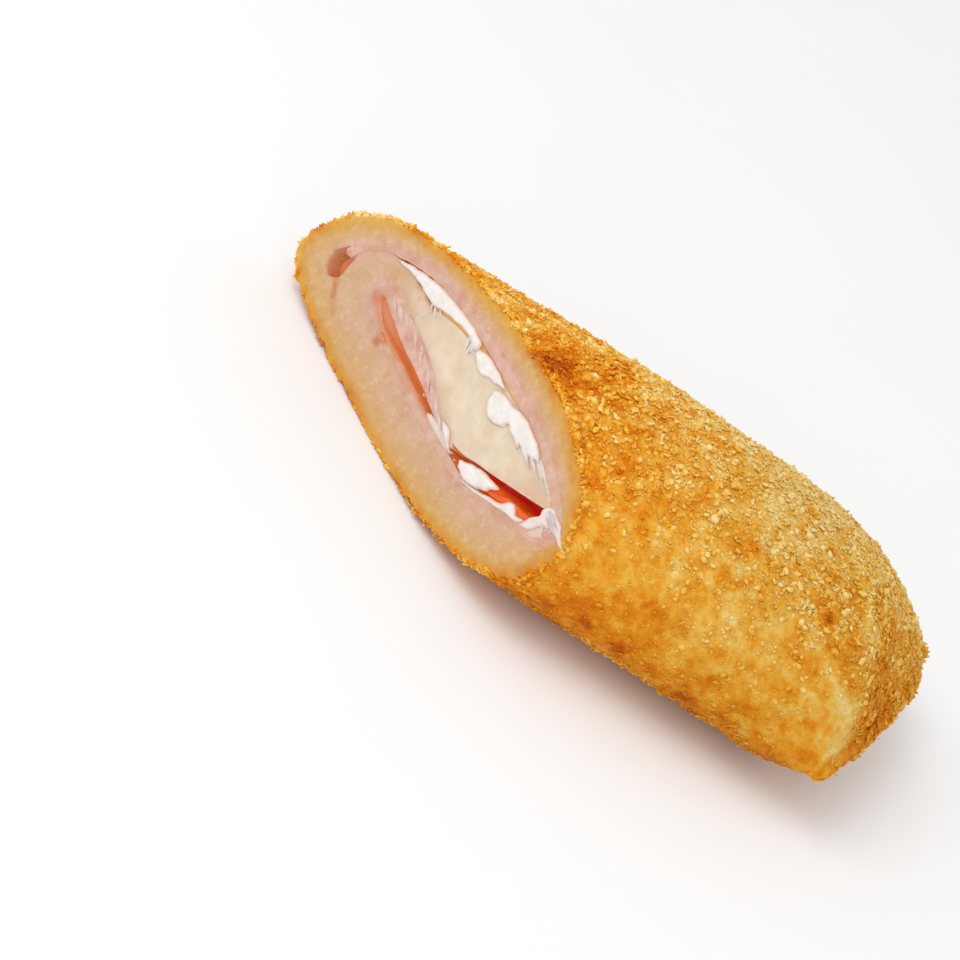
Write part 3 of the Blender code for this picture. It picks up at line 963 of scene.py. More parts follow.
# The ham's sides behind the cut: painted glow in orange and painted shade in dark red, both
# growing with depth.
for share, row in zip(LAYER_SHARES[1:], rows[1:]):
    for vert in row:
        vert[ham_pink] = 1.0
        vert[ham_painted_glow] = min(1.0, 0.3 + 80 * share)
        vert[ham_deep_shade] = min(1.0, max(0.0, 9 * share - 0.5))
for vert, pink, glow in zip(verts, pink_at(points), painted_glow_at(points)):
    vert[ham_pink] = pink
    vert[ham_painted_glow] = glow
for vert, point in zip(rows[0], ham_band(0.0)):
    vert[ham_pink] = float(pink_at(point[None])[0])
    vert[ham_painted_glow] = float(painted_glow_at(point[None])[0])
join_up(ham_mesh, rows, verts)
# The slit's floor: painted glow, more orange further along.
for vert, _ in add_puddle(
    ham_mesh, SLIT_FLOOR, level=0.0, height=-0.1, rounding=1.5, spacing=0.4, swell=0.1
):
    along = CUT_CENTRE[1] - 1000 * vert.co.y
    sunk = -np.interp(along, *zip(*SLIT_LEVELS))
    vert.co -= Vector(CUT_NORMAL * 0.001 * sunk)
    vert[ham_pink] = 0.3
    vert[ham_painted_glow] = 0.78 + 0.22 * float(eased(along, -10.5, -6.5))
# The pocket floors: full painted glow, and painted shade in dark red on the deep one.
for outline, level, deep in ((POCKET_FLOOR, -1.3, 0.0), (DEEP_FLOOR, -6.0, 1.0)):
    for vert, _ in add_puddle(
        ham_mesh, outline, level, height=-0.3, rounding=2.0, spacing=0.5, swell=0.2
    ):
        vert[ham_pink] = 0.5
        vert[ham_painted_glow] = 1.0
        vert[ham_deep_shade] = deep
bmesh.ops.recalc_face_normals(ham_mesh, faces=ham_mesh.faces)

ham_finish = Finish("ham", 0.3, subsurface=0.4, radius=(1.0, 0.45, 0.35), scale=0.0010)
streaks = ham_finish.speckle(1.2, 4.0, (1.0, 0.45, 2.2))
glow = ham_finish.attribute("glow")
deep = ham_finish.attribute("deep")
pink = ham_finish.group(
    cooked_dough, {"Pink": ham_finish.attribute("pink"), "Glow": glow, "Rim": FAR_FROM_RIM}
)
# Painted shade: dark red deep in the pockets. Painted glow: orange and red emission on the walls
# and floors of the open places.
ham_finish.painted(ham_finish.mixed(deep, pink, colour(190, 22, 12)))
ham_finish.emits_painted_glow(
    ham_finish.mixed(
        deep,
        ham_finish.mixed(ham_finish.ranged(glow, 0.5, 1.0), (0, 0, 0, 1), colour(172, 88, 34)),
        colour(182, 14, 10),
    ),
    0.42,
)
ham_finish.bumped(streaks, depth_mm=0.10, strength=0.5)
ham = finished("ham_slice", ham_mesh, ham_finish.material, smooth_angle=50)
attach(ham, "root")
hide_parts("ham")


# The cheese is a slab of mild pale cheese, cut clean through, soft and slightly shining, with
# shallow facets where the knife dragged.
SLAB = (
    (-8.3, 5.9), (-7.7, 6.9), (-6.0, 7.75), (-4.6, 8.35), (-3.3, 8.65), (-2.0, 9.3),
    (0.0, 9.8), (3.6, 9.95), (4.3, 9.75), (6.8, 9.85), (7.4, 10.0), (11.0, 9.7),
    (14.0, 9.0), (16.5, 7.9), (18.5, 6.3), (18.2, 5.85), (14.8, 3.6), (11.3, 1.25),
    (9.7, 0.4), (8.1, -0.85), (5.8, -1.35), (3.6, -0.95), (0.6, 0.45), (-3.0, 1.9),
    (-6.1, 2.6), (-8.3, 2.7), (-8.9, 3.4), (-8.6, 4.6),
)


def rounded(points):
    """A closed outline with its corners cut off."""
    points = np.array(points, float)
    following = np.roll(points, -1, axis=0)
    cuts = [between(points, following, share) for share in (0.25, 0.75)]
    return np.stack(cuts, axis=1).reshape(-1, 2)


def evenly_sampled(points, spacing):
    """A closed outline resampled at an even spacing."""
    closed = np.vstack([points, points[:1]])
    along = np.concatenate([[0], np.cumsum(np.linalg.norm(np.diff(closed, axis=0), axis=1))])
    at = np.linspace(0, along[-1], int(along[-1] / spacing), endpoint=False)
    return np.column_stack([np.interp(at, along, column) for column in closed.T])


slab_edge = evenly_sampled(rounded(SLAB), 0.35)


def slab_facets(points):
    """A shallow step across the slab where the knife turned, and a little unevenness."""
    s, z = points.T
    ridge = 0.22 * eased(-(z - 8 + 0.8 * (s + 1)), -0.5, 0.5)
    uneven = 0.14 * mottle(points, 3.5, 7.0) + 0.05 * mottle(points, 1.1)
    return (0.14 - ridge + uneven) * (1 - eased(-s, 3.0, 6.8))


slab_mesh = bmesh.new()
slab_pink = slab_mesh.verts.layers.float.new("pink")
slab_shares = np.array([0, 0.01, 0.03, 0.1, 0.3, 0.98])
rows, verts, points = add_filling(
    slab_mesh, lambda share: slab_edge, slab_shares, slab_facets,
    stands_out=0.04, rounding=0.1, spacing=0.35,
)
far_fade = 0.3 * eased(-points[:, 0], 2.0, 7.5)
near_fade = 0.85 * eased(points @ (0.75, -0.3), 7.2, 10.8)
for vert, pink, dough_like in zip(verts, pink_at(points), np.maximum(far_fade, near_fade)):
    vert[slab_pink] = max(pink * 0.8, dough_like)
join_up(slab_mesh, rows, verts)
bmesh.ops.recalc_face_normals(slab_mesh, faces=slab_mesh.faces)
slab_finish = Finish("pale_cheese", 0.36, subsurface=0.5, radius=(1.0, 0.8, 0.55), scale=0.002)
cloud = slab_finish.speckle(0.3, 3.0)
cheese_colour = slab_finish.mixed(
    slab_finish.ranged(cloud, 0.35, 0.65), colour(222, 206, 184), colour(210, 190, 160)
)
slab_finish.painted(
    slab_finish.mixed(slab_finish.attribute("pink"), cheese_colour, colour(205, 170, 142))
)
slab_finish.bumped(slab_finish.speckle(1.2, 3.0), depth_mm=0.06, strength=0.4)
slab = finished("cheese_slab", slab_mesh, slab_finish.material, smooth_angle=50)
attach(slab, "root")
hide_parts("cheese")


# The runny cheese is white, wet and shining. It has flowed over the slab, round its near end
# and back under it, and stands in drops and streaks where it left the cut.
# This piece also carries painted glints over the ham above the slit, and painted glow and shade
# on its inner walls and films.
MELT_PATH = (
    (-14.2, 6.65, 0.20, 0.0),
    (-12.0, 7.2, 0.50, 0.0),
    (-9.0, 7.95, 0.95, 0.0),
    (-5.6, 9.15, 0.55, 0.0),
    (-3.0, 9.5, 0.40, 0.0),
    (0.4, 9.0, 0.75, 0.0),
    (3.4, 9.3, 0.50, 0.0),
    (5.9, 8.1, 1.50, 0.0),
    (8.6, 8.6, 0.85, 0.0),
    (11.2, 8.3, 0.80, 0.0),
    (14.0, 7.9, 0.42, 0.0),
    (17.0, 6.85, 0.30, 0.0),
    (18.5, 5.9, 0.40, 0.2),
    (19.25, 4.6, 0.60, 0.6),
    (18.6, 3.2, 0.50, 1.5),
    (17.2, 2.1, 0.40, 2.0),
    (15.6, 1.5, 0.60, 1.4),
    (14.3, 0.5, 0.33, 1.8),
    (12.8, 0.15, 0.80, 0.7),
    (11.0, -0.65, 0.80, 0.1),
    (9.5, -1.5, 0.40, 0.0),
)

# Puddles and drops on the cut: level, height, rounding, how thin they lie, and outline
PUDDLES = (
    (0.0, 0.40, 0.8, 0.0, (
        (-15.9, 5.5), (-14.5, 6.8), (-12.6, 8.0), (-10.6, 9.0), (-8.5, 9.7), (-6.2, 10.1),
        (-4.2, 10.4), (-2.6, 10.35), (-1.4, 10.0), (-1.1, 8.8), (-1.5, 7.9), (-2.2, 8.6),
        (-3.1, 9.0), (-4.6, 8.75), (-6.4, 8.05), (-7.7, 7.25), (-8.5, 6.65), (-9.8, 6.55),
        (-11.6, 6.55), (-13.4, 6.3), (-14.8, 5.75),
    )),
    (0.25, 0.35, 0.6, 0.0, (
        (-0.9, 9.6), (0.3, 10.3), (1.7, 10.35), (2.9, 10.3), (3.8, 10.0), (4.6, 9.7),
        (3.7, 9.25), (3.2, 8.7), (2.4, 8.6), (1.9, 7.9), (1.0, 7.7), (0.1, 8.1), (-0.7, 8.5),
        (-1.0, 9.0),
    )),
    (0.25, 0.42, 0.9, 0.0, (
        (4.2, 8.9), (5.0, 9.4), (6.5, 9.6), (7.6, 10.05), (8.8, 10.3), (10.2, 10.15),
        (11.8, 9.8), (13.0, 9.2), (13.6, 8.6), (13.0, 8.3), (14.0, 7.75), (15.2, 7.1),
        (13.6, 7.5), (12.4, 7.9), (12.8, 7.4), (14.0, 6.8), (12.0, 7.1), (10.8, 7.6),
        (10.9, 6.9), (9.8, 7.2), (8.9, 7.2), (8.2, 7.6), (8.0, 6.6), (7.4, 5.9), (6.6, 5.5),
        (5.6, 5.7), (4.9, 6.3), (4.3, 7.3), (4.0, 8.2),
    )),
    (-0.08, 0.10, 0.4, 1.10, (
        (18.9, 1.3), (19.2, 3.0), (19.7, 5.0), (20.4, 5.7), (21.1, 4.6), (20.8, 3.0),
        (20.0, 1.7),
    )),
    (-0.05, 0.28, 0.7, 0.45, (
        (18.2, 6.6), (18.9, 7.1), (19.8, 6.8), (20.8, 6.6), (21.6, 6.0), (22.6, 5.3),
        (23.2, 4.9), (22.3, 4.8), (21.4, 5.1), (20.6, 5.1), (20.1, 4.4), (19.6, 3.6),
        (19.5, 2.6), (18.9, 1.8), (18.2, 1.4), (18.2, 3.4), (18.5, 4.7), (18.1, 5.7),
    )),
    (-0.1, 0.35, 0.5, 0.15, (
        (18.3, 2.3), (17.8, 1.1), (16.9, 0.6), (16.0, 0.1), (15.2, -0.5), (14.2, -1.1),
        (13.1, -1.8), (12.0, -2.5), (10.7, -3.0), (10.4, -2.6), (11.8, -1.9), (13.1, -1.0),
        (14.1, -0.2), (15.0, 0.4), (15.35, 1.2), (15.5, 1.9), (16.1, 2.3), (16.8, 1.9),
        (17.2, 1.7), (17.8, 2.2),
    )),
    (0.1, 0.60, 1.1, 0.0, (
        (8.6, -1.5), (9.3, -0.6), (10.1, 0.1), (11.2, 0.9), (12.3, 1.25), (13.65, 1.6),
        (13.8, 1.1), (13.3, 0.4), (13.2, -0.4), (12.6, -1.2), (11.7, -2.0), (10.7, -2.5),
        (9.6, -2.3), (8.9, -2.0),
    )),
    (-0.05, 0.15, 0.4, 0.70, (
        (2.2, -2.0), (3.4, -1.6), (4.6, -1.5), (5.6, -1.7), (6.9, -2.0), (7.2, -2.5),
        (6.0, -2.8), (4.4, -2.85), (3.0, -2.8), (1.9, -2.4),
    )),
    # This last one is a painted highlight: a pale patch standing in for sheen on the wet ham.
    (0.15, 0.20, 0.4, 0.1, (
        (3.7, -0.8), (4.6, -0.5), (5.5, -0.8), (6.2, -1.5), (7.0, -2.2), (6.4, -2.3),
        (5.3, -1.8), (4.5, -1.4),
    )),
)


# Golden sheets laid in the gaps beside the slab, coloured and lit by the same painted glow as
# the runny cheese's inner walls: level and outline
FILMS = (
    (-0.32, ((-9.2, 6.3), (-8.6, 7.3), (-6.6, 8.5), (-4.6, 9.2), (-2.6, 9.8), (-1.6, 9.3),
             (-3.3, 8.2), (-6.0, 7.2), (-7.8, 6.3))),
    (-0.25, ((2.4, 10.25), (5.0, 10.45), (7.2, 10.45), (8.4, 10.3), (8.2, 9.7), (5.0, 9.4),
             (2.6, 9.6))),
)

# Thin strands where the knife dragged the runny cheese, and pale streaks over the ham that are
# painted glints: from, to, width, height and tint
STRANDS = (
    (-3.0, 9.3, -1.9, 7.5, 0.16, 0.20, 0.3),
    (-2.4, 9.3, -1.3, 7.2, 0.14, 0.20, 0.3),
    (-1.8, 9.2, -0.7, 7.8, 0.12, 0.20, 0.3),
    (-8.4, 6.95, -7.0, 5.8, 0.13, 0.12, 0.2),
    (-8.9, 6.8, -8.1, 6.0, 0.11, 0.10, 0.3),
    (-7.7, 7.3, -6.3, 6.6, 0.10, 0.10, 0.4),
    (8.6, 8.1, 11.4, 6.5, 0.22, 0.14, 0.2),
    (9.6, 8.6, 13.4, 6.9, 0.26, 0.14, 0.2),
    (10.8, 8.9, 15.0, 7.0, 0.26, 0.13, 0.3),
    (11.8, 9.2, 16.0, 7.4, 0.28, 0.12, 0.4),
    (13.2, 9.0, 16.8, 7.5, 0.24, 0.10, 0.5),
    (12.2, 8.2, 15.2, 6.7, 0.20, 0.10, 0.5),
    (15.0, 7.7, 17.0, 6.9, 0.18, 0.08, 0.8),
    (18.6, 6.3, 21.0, 6.0, 0.36, 0.16, 0.5),
    (19.0, 5.6, 21.7, 5.2, 0.32, 0.14, 0.7),
    (19.4, 4.6, 20.9, 3.2, 0.12, 0.16, 0.5),
    # The rest, over the ham above the slit, are painted glints: pale streaks standing in for
    # light shining on the wet ham.
    (-10.9, 2.2, -8.7, 1.1, 0.42, 0.05, 1.00),
    (-9.6, 2.5, -7.6, 1.2, 0.30, 0.05, 1.10),
    (-12.0, 1.8, -10.2, 1.0, 0.26, 0.04, 1.10),
    (-7.2, 2.4, -5.2, 0.8, 0.24, 0.04, 1.15),
    (-5.4, 2.2, -3.2, 0.2, 0.30, 0.05, 1.05),
    (-4.2, 1.9, -2.0, 0.1, 0.22, 0.04, 1.15),
    (-2.6, 1.3, -0.2, -0.6, 0.28, 0.05, 1.05),
    (-0.6, 0.4, 1.6, -1.1, 0.24, 0.04, 1.10),
    (0.8, -0.1, 3.4, -1.6, 0.26, 0.06, 0.90),
    (2.6, -0.9, 4.8, -1.9, 0.20, 0.08, 0.60),
)


# The run of small pale drops along the ham over the slit, painted glints standing in for light
# on the wet ham: place and how far they stray
SPECK_RUN = (
    (-12.6, 1.9, 0.5), (-9.6, 1.7, 0.5), (-6.5, 0.8, 0.6), (-2.5, -0.1, 0.6), (2.0, -1.5, 0.4),
    (5.8, -2.3, 0.3), (8.0, -2.4, 0.25),
)
SPECKS = 30
SPECK_SIZES = (0.06, 0.16)
SIXTH_TURN = 1.047
THIN_EDGE = 0.45


def glint_specks():
    """Place and size of each painted glint, a small pale drop."""
    run = smooth_path(SPECK_RUN)
    picks = run[rng.integers(0, len(run), SPECKS)]
    aside = rng.normal(0, 1, (SPECKS, 2)) * picks[:, 2:3]
    return list(zip(picks[:, :2] + aside * (0.9, 0.7), rng.uniform(*SPECK_SIZES, SPECKS)))


def melt_band(share):
    return band(MELT_PATH, share, wave=0.12, thicker=0.15)


def melt_swells(points):
    return 0.15 * mottle(points, 1.0, 3.0)


melt_mesh = bmesh.new()
melt_inside, melt_deep_shade, melt_open, melt_thin = (
    melt_mesh.verts.layers.float.new(name) for name in ("inside", "deep", "open", "thin")
)
rows, verts, points = add_filling(
    melt_mesh, melt_band, LAYER_SHARES, melt_swells, stands_out=-0.45, rounding=0.3, spacing=0.35
)
# The melt's inner walls: painted shade in dark red deeper in, and painted glow in orange on the
# open side towards the void.
for share, row in zip(LAYER_SHARES, rows):
    for vert in row:
        vert[melt_inside] = 1.0
        vert[melt_deep_shade] = min(1.0, max(0.0, 9 * share - 0.6))
for vert in verts:
    vert[melt_inside] = 1.0
join_up(melt_mesh, rows, verts)
for vert in melt_mesh.verts:
    along, height = CUT_CENTRE[1] - 1000 * vert.co.y, 1000 * vert.co.z - CUT_CENTRE[2]
    vert[melt_open] = float(eased(0.62 * along - height, 2.2, 4.2))
for level, height, rounding, tint, outline in PUDDLES:
    for vert, away in add_puddle(
        melt_mesh, outline, level, height, rounding, spacing=0.25, swell=0.12, wander=0.3
    ):
        vert[melt_thin] = max(tint, 1.0 - float(away) / THIN_EDGE)
for level, outline in FILMS:
    for vert, _ in add_puddle(
        melt_mesh, outline, level, height=0.05, rounding=0.4, spacing=0.3, swell=0.1
    ):
        vert[melt_inside] = 1.0
for s0, z0, s1, z1, width, height, tint in STRANDS:
    run = np.array((s1 - s0, z1 - z0))
    aside = width * np.array((-run[1], run[0])) / np.linalg.norm(run)
    start = np.array((s0, z0))
    ends = [start, start + 0.3 * run + aside, start + 0.65 * run + 0.5 * aside, start + run]
    ends += [start + 0.7 * run - 0.6 * aside, start + 0.35 * run - aside]
    for vert, _ in add_puddle(
        melt_mesh, ends, 0.9 * height, height, rounding=0.35, spacing=0.14, swell=0.0
    ):
        vert[melt_thin] = tint
for place, size in glint_specks():
    around = [
        place + size * np.array((1.5 * math.cos(a), 0.5 * math.sin(a) - 0.5 * math.cos(a)))
        for a in np.arange(6) * SIXTH_TURN
    ]
    for vert, _ in add_puddle(
        melt_mesh, around, 0.02, 0.35 * size, rounding=size, spacing=0.1, swell=0.0
    ):
        vert[melt_thin] = 0.7
bmesh.ops.recalc_face_normals(melt_mesh, faces=melt_mesh.faces)
melt_finish = Finish("runny_cheese", 0.14, subsurface=0.4, radius=(1.0, 0.9, 0.75), scale=0.0015)
clouds = melt_finish.ranged(melt_finish.speckle(0.6), 0.4, 0.7)
white = melt_finish.mixed(clouds, colour(230, 225, 220), colour(220, 211, 202))
uneven = melt_finish.times(melt_finish.speckle(1.6), 0.5)
film = melt_finish.plus(melt_finish.attribute("thin"), uneven)
white = melt_finish.mixed(melt_finish.ranged(film, 0.35, 1.3), white, colour(218, 184, 166))
inside_melt = melt_finish.attribute("inside")
deep = melt_finish.attribute("deep")
open_side = melt_finish.attribute("open")
# Painted glow and shade inside the melt: orange on the open side, dark red deeper in, also given
# off as a faint glow.
cavity_glow = melt_finish.mixed(open_side, colour(200, 148, 78), colour(200, 78, 16))
cavity_glow = melt_finish.mixed(deep, cavity_glow, colour(190, 24, 12))
melt_finish.painted(melt_finish.mixed(inside_melt, white, cavity_glow))
melt_finish.emits_painted_glow(melt_finish.mixed(inside_melt, (0, 0, 0, 1), cavity_glow), 0.36)
melt = finished("runny_cheese", melt_mesh, melt_finish.material, smooth_angle=60)
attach(melt, "root")
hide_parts("melted_cheese")


# The breadcrumbs are fine, dry, curly gratings of white bread, pressed on wet and fried golden.
# They lie flat or stand on edge, thick on the upper side, thin at the smooth pinched corner.
SHAPES_A_KIND = 8
CRUMB_SCATTER = 0.16
CRUMBS_PAST_CUT = 0.5
FRINGE_MORE = 7.0
FRINGE_DEPTH = 0.6
FRINGE_OUT = 0.36
FRINGE_FADES = 0.5


def shape_of(make):
    """Vertices and triangles of a small shape, in millimetres, made by a function."""
    mesh = bmesh.new()
    make(mesh)
    bmesh.ops.triangulate(mesh, faces=mesh.faces)
    bmesh.ops.recalc_face_normals(mesh, faces=mesh.faces)
    mesh.verts.index_update()
    verts = np.array([vert.co for vert in mesh.verts])
    faces = np.array([[vert.index for vert in face.verts] for face in mesh.faces])
    mesh.free()
    return verts, faces


def chunk(mesh):
    bmesh.ops.create_icosphere(mesh, subdivisions=1, radius=0.5)
    for vert in mesh.verts:
        vert.co *= 1 + rng.uniform(-0.5, 0.5)
        vert.co.x *= 1.25
        vert.co.z *= 0.5


def curl(mesh):
    turn = rng.uniform(0.8, 2.9)
    thick = rng.uniform(0.10, 0.16)
    bmesh.ops.create_circle(mesh, segments=3, radius=thick, cap_ends=True)
    bmesh.ops.rotate(mesh, verts=mesh.verts, matrix=Matrix.Rotation(math.pi / 2, 3, "X"))
    bmesh.ops.translate(mesh, verts=mesh.verts, vec=(0.42, 0, 0))
    bmesh.ops.spin(
        mesh, geom=mesh.faces[:], axis=(0, 0, 1), cent=(0, 0, 0), dvec=(0, 0, 0.03),
        angle=turn, steps=3,
    )
    middle = sum((vert.co for vert in mesh.verts), Vector()) / len(mesh.verts)
    for vert in mesh.verts:
        vert.co -= middle
        vert.co *= 1 + rng.uniform(-0.18, 0.18)


def flake(mesh):
    bmesh.ops.create_cone(
        mesh, cap_ends=True, cap_tris=True, segments=5, radius1=0.5, radius2=0.38, depth=0.14
    )
    for vert in mesh.verts:
        vert.co.x *= 1 + rng.uniform(-0.35, 0.35)
        vert.co.y *= 0.7 + rng.uniform(-0.25, 0.25)
        vert.co.z += 0.6 * (vert.co.x ** 2 + 0.6 * vert.co.y ** 2) + rng.uniform(-0.05, 0.05)


def grit(mesh):
    bmesh.ops.create_cone(mesh, cap_ends=True, segments=4, radius1=0.5, radius2=0.3, depth=0.6)
    for vert in mesh.verts:
        vert.co *= 1 + rng.uniform(-0.35, 0.35)


def dust(mesh):
    bmesh.ops.create_uvsphere(mesh, u_segments=4, v_segments=2, radius=0.5)
    for vert in mesh.verts:
        vert.co *= 1 + rng.uniform(-0.35, 0.35)
        vert.co.z *= 0.7


corner_a = crust_points[:-1]
corner_b = np.roll(crust_points, -1, axis=1)[:-1]
corner_c = crust_points[1:]
quad_normal = np.cross(corner_b - corner_a, corner_c - corner_a)
quad_area = np.linalg.norm(quad_normal, axis=2)
quad_normal = quad_normal / np.maximum(quad_area, 1e-9)[..., None]
quad_middle = (corner_a + corner_b + corner_c + np.roll(corner_c, -1, axis=1)) / 4
inward = ((quad_middle - quad_middle.mean(1, keepdims=True)) * quad_normal).sum(2) < 0
quad_normal[inward] *= -1


def crumb_cover(points):
    """Share of the crumbs that stayed on at a place."""
    x, y, z = points.T
    corner = np.exp(-(((x - 73.0) / 6.0) ** 2 + ((y + 20.0) / 5.0) ** 2))
    patches = 0.5 + 0.5 * mottle(points, 5.0, 21.0)
    near_band = eased(-y, 11.0, 23.0) * eased(x, 5.0, 25.0)
    underside = eased(-z, 8.0, 11.0)
    thinned = (1 - 0.85 * corner) * (1 - 0.55 * near_band) * (1 - 0.45 * underside)
    return (0.75 + 0.35 * patches) * thinned


def cut_fringe(points):
    """How many more crumbs stand along the edge of the cut."""
    x, y, z = points.T
    return 1 + FRINGE_MORE * np.exp(-np.maximum(x - cut_x(y, z), 0) / FRINGE_DEPTH)


flat_middle = quad_middle.reshape(-1, 3)
flat_normal = quad_normal.reshape(-1, 3)
cover = crumb_cover(flat_middle)
chance = quad_area.reshape(-1) * cover * cut_fringe(flat_middle)
chance = np.cumsum(chance) / chance.sum()


def scatter(name, make, number, sizes, sunk, lean, tone_range):
    """Joins many crumbs of one kind over the crust into one mesh."""
    forms = [shape_of(make) for _ in range(SHAPES_A_KIND)]
    picks = np.searchsorted(chance, rng.random(number))
    middles = flat_middle[picks] + rng.normal(0, CRUMB_SCATTER, (number, 3))
    normals = flat_normal[picks] + rng.normal(0, lean, (number, 3))
    normals /= np.linalg.norm(normals, axis=1)[:, None]
    side = np.cross(normals, rng.normal(size=(number, 3)))
    side /= np.linalg.norm(side, axis=1)[:, None]
    across = np.cross(normals, side)
    size = sizes[0] + (sizes[1] - sizes[0]) * rng.random(number) ** 1.6
    toast_and_shade_here = browning_and_shade(middles)
    thick = eased(cover[picks], 0.25, 0.85)
    size *= 0.7 + 0.3 * thick
    tones = 0.5 + tone_range * (0.35 + 0.65 * thick) * (rng.random(number) - 0.5)
    which = rng.integers(0, SHAPES_A_KIND, number)
    all_verts, all_faces, tone, toast_and_shade, lift, start = [], [], [], [], [], 0
    for k, (verts, faces) in enumerate(forms):
        chosen = np.flatnonzero(which == k)
        axes = np.stack([side[chosen], across[chosen], normals[chosen]], axis=1)
        outward = flat_normal[picks[chosen]]
        placed = (verts[None] * size[chosen][:, None, None]) @ axes + middles[chosen][:, None]
        at_cut = middles[chosen][:, 0] - cut_x(middles[chosen][:, 1], middles[chosen][:, 2])
        fringe = FRINGE_OUT * np.exp(-np.maximum(at_cut, 0) / FRINGE_FADES)
        held = sunk - 0.12 * (1 - thick[chosen])
        placed += outward[:, None] * (size[chosen] * held + fringe)[:, None, None]
        raised = ((placed - flat_middle[picks[chosen]][:, None]) * outward[:, None]).sum(2)
        floor_gap = placed[:, :, 2].min(1) - RESTING_LEVEL
        placed[:, :, 2] += np.maximum(-floor_gap, 0)[:, None]
        over_cut = (cut_x(placed[..., 1], placed[..., 2]) - placed[..., 0]).max(1)
        placed[:, :, 0] += np.maximum(over_cut - CRUMBS_PAST_CUT, 0)[:, None]
        all_verts.append(placed.reshape(-1, 3))
        offsets = start + np.arange(len(chosen)) * len(verts)
        all_faces.append((faces[None] + offsets[:, None, None]).reshape(-1, 3))
        tone.append(np.repeat(tones[chosen], len(verts)))
        toast_and_shade.append(np.repeat(toast_and_shade_here[chosen], len(verts)))
        # Painted light and shade: the parts of a crumb that stand out get paler, most where
        # crumbs lie thick.
        paler = (0.4 + 0.5 * thick[chosen])[:, None]
        lift.append(np.clip(0.35 + paler * raised, 0, 1).reshape(-1))
        start += len(chosen) * len(verts)
    verts = to_metres(np.vstack(all_verts))
    faces = np.vstack(all_faces)
    data = bpy.data.meshes.new(name)
    data.vertices.add(len(verts))
    data.vertices.foreach_set("co", verts.astype(np.float32).ravel())
    data.loops.add(len(faces) * 3)
    data.loops.foreach_set("vertex_index", faces.astype(np.int32).ravel())
    data.polygons.add(len(faces))
    data.polygons.foreach_set("loop_start", np.arange(len(faces), dtype=np.int32) * 3)
    data.update(calc_edges=True)
    data.validate()
    for key, values in (("tone", tone), ("browning_and_shade", toast_and_shade), ("lift", lift)):
        layer = data.attributes.new(key, "FLOAT", "POINT")
        layer.data.foreach_set("value", np.concatenate(values).astype(np.float32))
    made = set_down(name, data, crumb.material)
    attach(made, "root")


crumb = Finish("fried_crumbs", 0.6, shine=0.08)
crumb_colour = crumb.group(
    fried_crust,
    {
        "Lift": crumb.attribute("lift"),
        "Browning_and_shade": crumb.attribute("browning_and_shade"),
        "Tone": crumb.attribute("tone"),
    },
)
crumb.painted(crumb_colour)
# Painted glow: the crumbs give off a little of their own colour, which lifts the shade between
# them.
crumb.emits_painted_glow(crumb_colour, 0.13)
share_made = 1.0

# Each kind: how many, smallest and largest size, how far out it stands, how much it leans, and
# how unlike in colour its crumbs are
for name, make, number, sizes, sunk, lean, tone_range in (
    ("crumb_chunks", chunk, 9000, (0.35, 1.25), -0.05, 0.25, 1.2),
    ("crumb_curls", curl, 7000, (0.7, 1.5), 0.02, 0.35, 1.2),
    ("crumb_flakes", flake, 9000, (0.6, 1.6), 0.0, 0.35, 1.2),
    ("crumb_grit", grit, 15000, (0.25, 0.65), 0.02, 0.5, 0.6),
    ("crumb_dust", dust, 20000, (0.2, 0.42), 0.06, 0.6, 0.4),
):
    scatter(name, make, int(number * share_made), sizes, sunk, lean, tone_range)


# A plain pale floor, soft studio light from the upper left, and the camera, which looks down
# steeply at the cut. Its angles are from above and along the roll, its distance in millimetres.
SOFT_LIGHTS = (
    ("key", (-0.55, -0.25, 0.85), 0.7, 0.5, 1.8),
    ("fill", (0.2, -0.9, 0.28), 0.9, 0.7, 1.5),
)
LIGHT_ALL_ROUND = 0.84
FLOOR_HALF_WIDTH = 3.0
FLOOR_LEVEL = -0.0002
LENS = 100.0
SENSOR = 36.0
IMAGE_WIDTH = 960
AIM_RIGHT, AIM_DOWN = 48, 89
TILT = math.radians(34.8)
SLANT = math.radians(58.7)
CAMERA_DISTANCE = 381.0

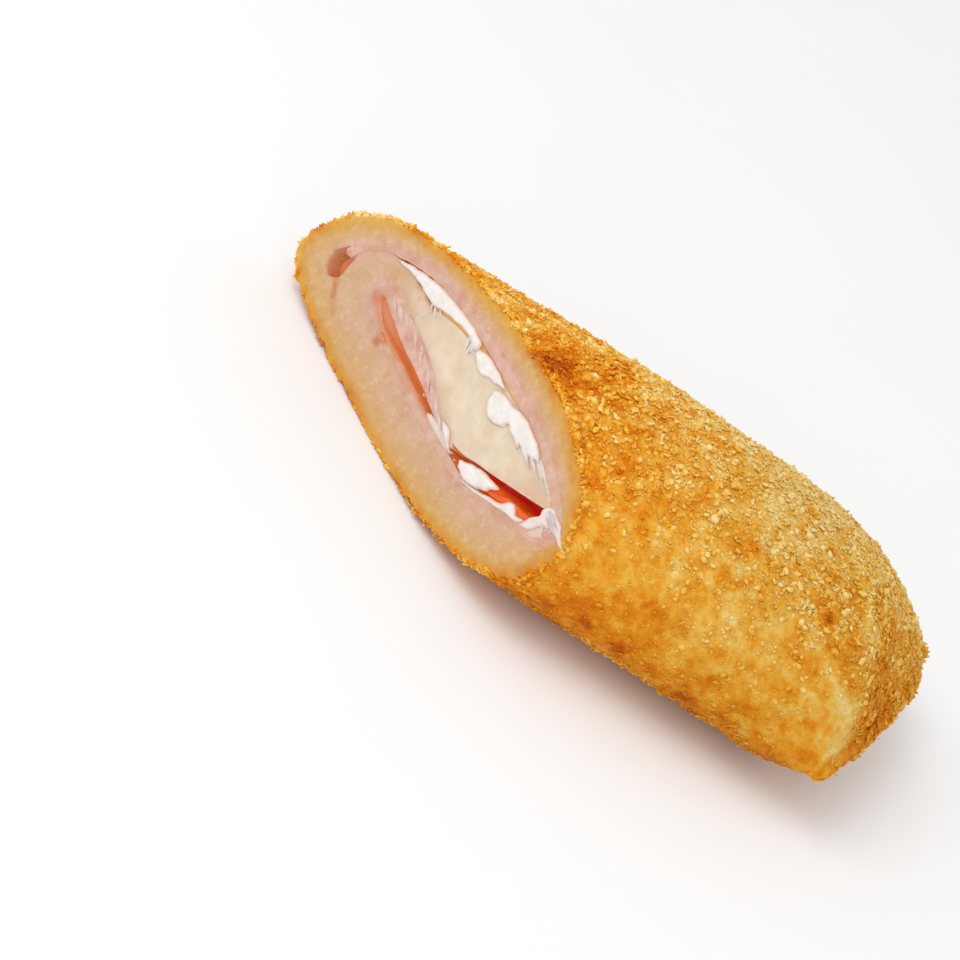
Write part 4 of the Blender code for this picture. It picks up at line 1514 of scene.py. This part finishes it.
floor_mesh = bmesh.new()
bmesh.ops.create_grid(floor_mesh, x_segments=1, y_segments=1, size=FLOOR_HALF_WIDTH)
floor_finish = Finish("pale_floor", 0.9)
floor_finish.painted(
    floor_finish.mixed(
        floor_finish.ranged(floor_finish.speckle(0.01), 0.3, 0.7),
        (0.86, 0.86, 0.86, 1),
        (0.88, 0.88, 0.88, 1),
    )
)
floor = finished("floor", floor_mesh, floor_finish.material)
floor.location.z = FLOOR_LEVEL

scene = bpy.context.scene
scene.view_settings.view_transform = "Standard"
scene.view_settings.look = "None"
world = bpy.data.worlds.new("studio")
world.use_nodes = True
world.node_tree.nodes["Background"].inputs["Color"].default_value = (1, 1, 1, 1)
world.node_tree.nodes["Background"].inputs["Strength"].default_value = LIGHT_ALL_ROUND
scene.world = world


def add_light(name, toward, distance, size, power):
    """A soft square light that shines at the roll from a direction."""
    lamp = bpy.data.lights.new(name, "AREA")
    lamp.shape = "SQUARE"
    lamp.size = size
    lamp.energy = power
    made = bpy.data.objects.new(name, lamp)
    direction = Vector(toward).normalized()
    made.location = Vector((0.0, 0.0, 0.012)) + direction * distance
    made.rotation_euler = direction.to_track_quat("Z", "Y").to_euler()
    scene.collection.objects.link(made)


for soft_light in SOFT_LIGHTS:
    add_light(*soft_light)

camera_data = bpy.data.cameras.new("camera")
camera_data.lens = LENS
camera_data.sensor_width = SENSOR
camera_data.sensor_fit = "HORIZONTAL"
camera_data.clip_start = 0.01
camera_data.clip_end = 20.0
pixel_focus = LENS / SENSOR * IMAGE_WIDTH
along_roll = np.array([1.0, 0.0, 0.0])
third = np.array([0.0, -math.cos(SLANT), -math.sin(SLANT)])
toward = np.array([0.0, -math.sin(SLANT), math.cos(SLANT)])
right = math.cos(TILT) * along_roll - math.sin(TILT) * third
down = math.sin(TILT) * along_roll + math.cos(TILT) * third
back = toward - AIM_RIGHT / pixel_focus * right - AIM_DOWN / pixel_focus * down
back /= np.linalg.norm(back)
right = right - (right @ back) * back
right /= np.linalg.norm(right)
turned = np.eye(4)
turned[:3, 0], turned[:3, 1], turned[:3, 2] = right, np.cross(back, right), back
turned[:3, 3] = to_metres(CAMERA_DISTANCE * toward)
camera = bpy.data.objects.new("camera", camera_data)
scene.collection.objects.link(camera)
camera.matrix_world = Matrix(turned.tolist())
scene.camera = camera
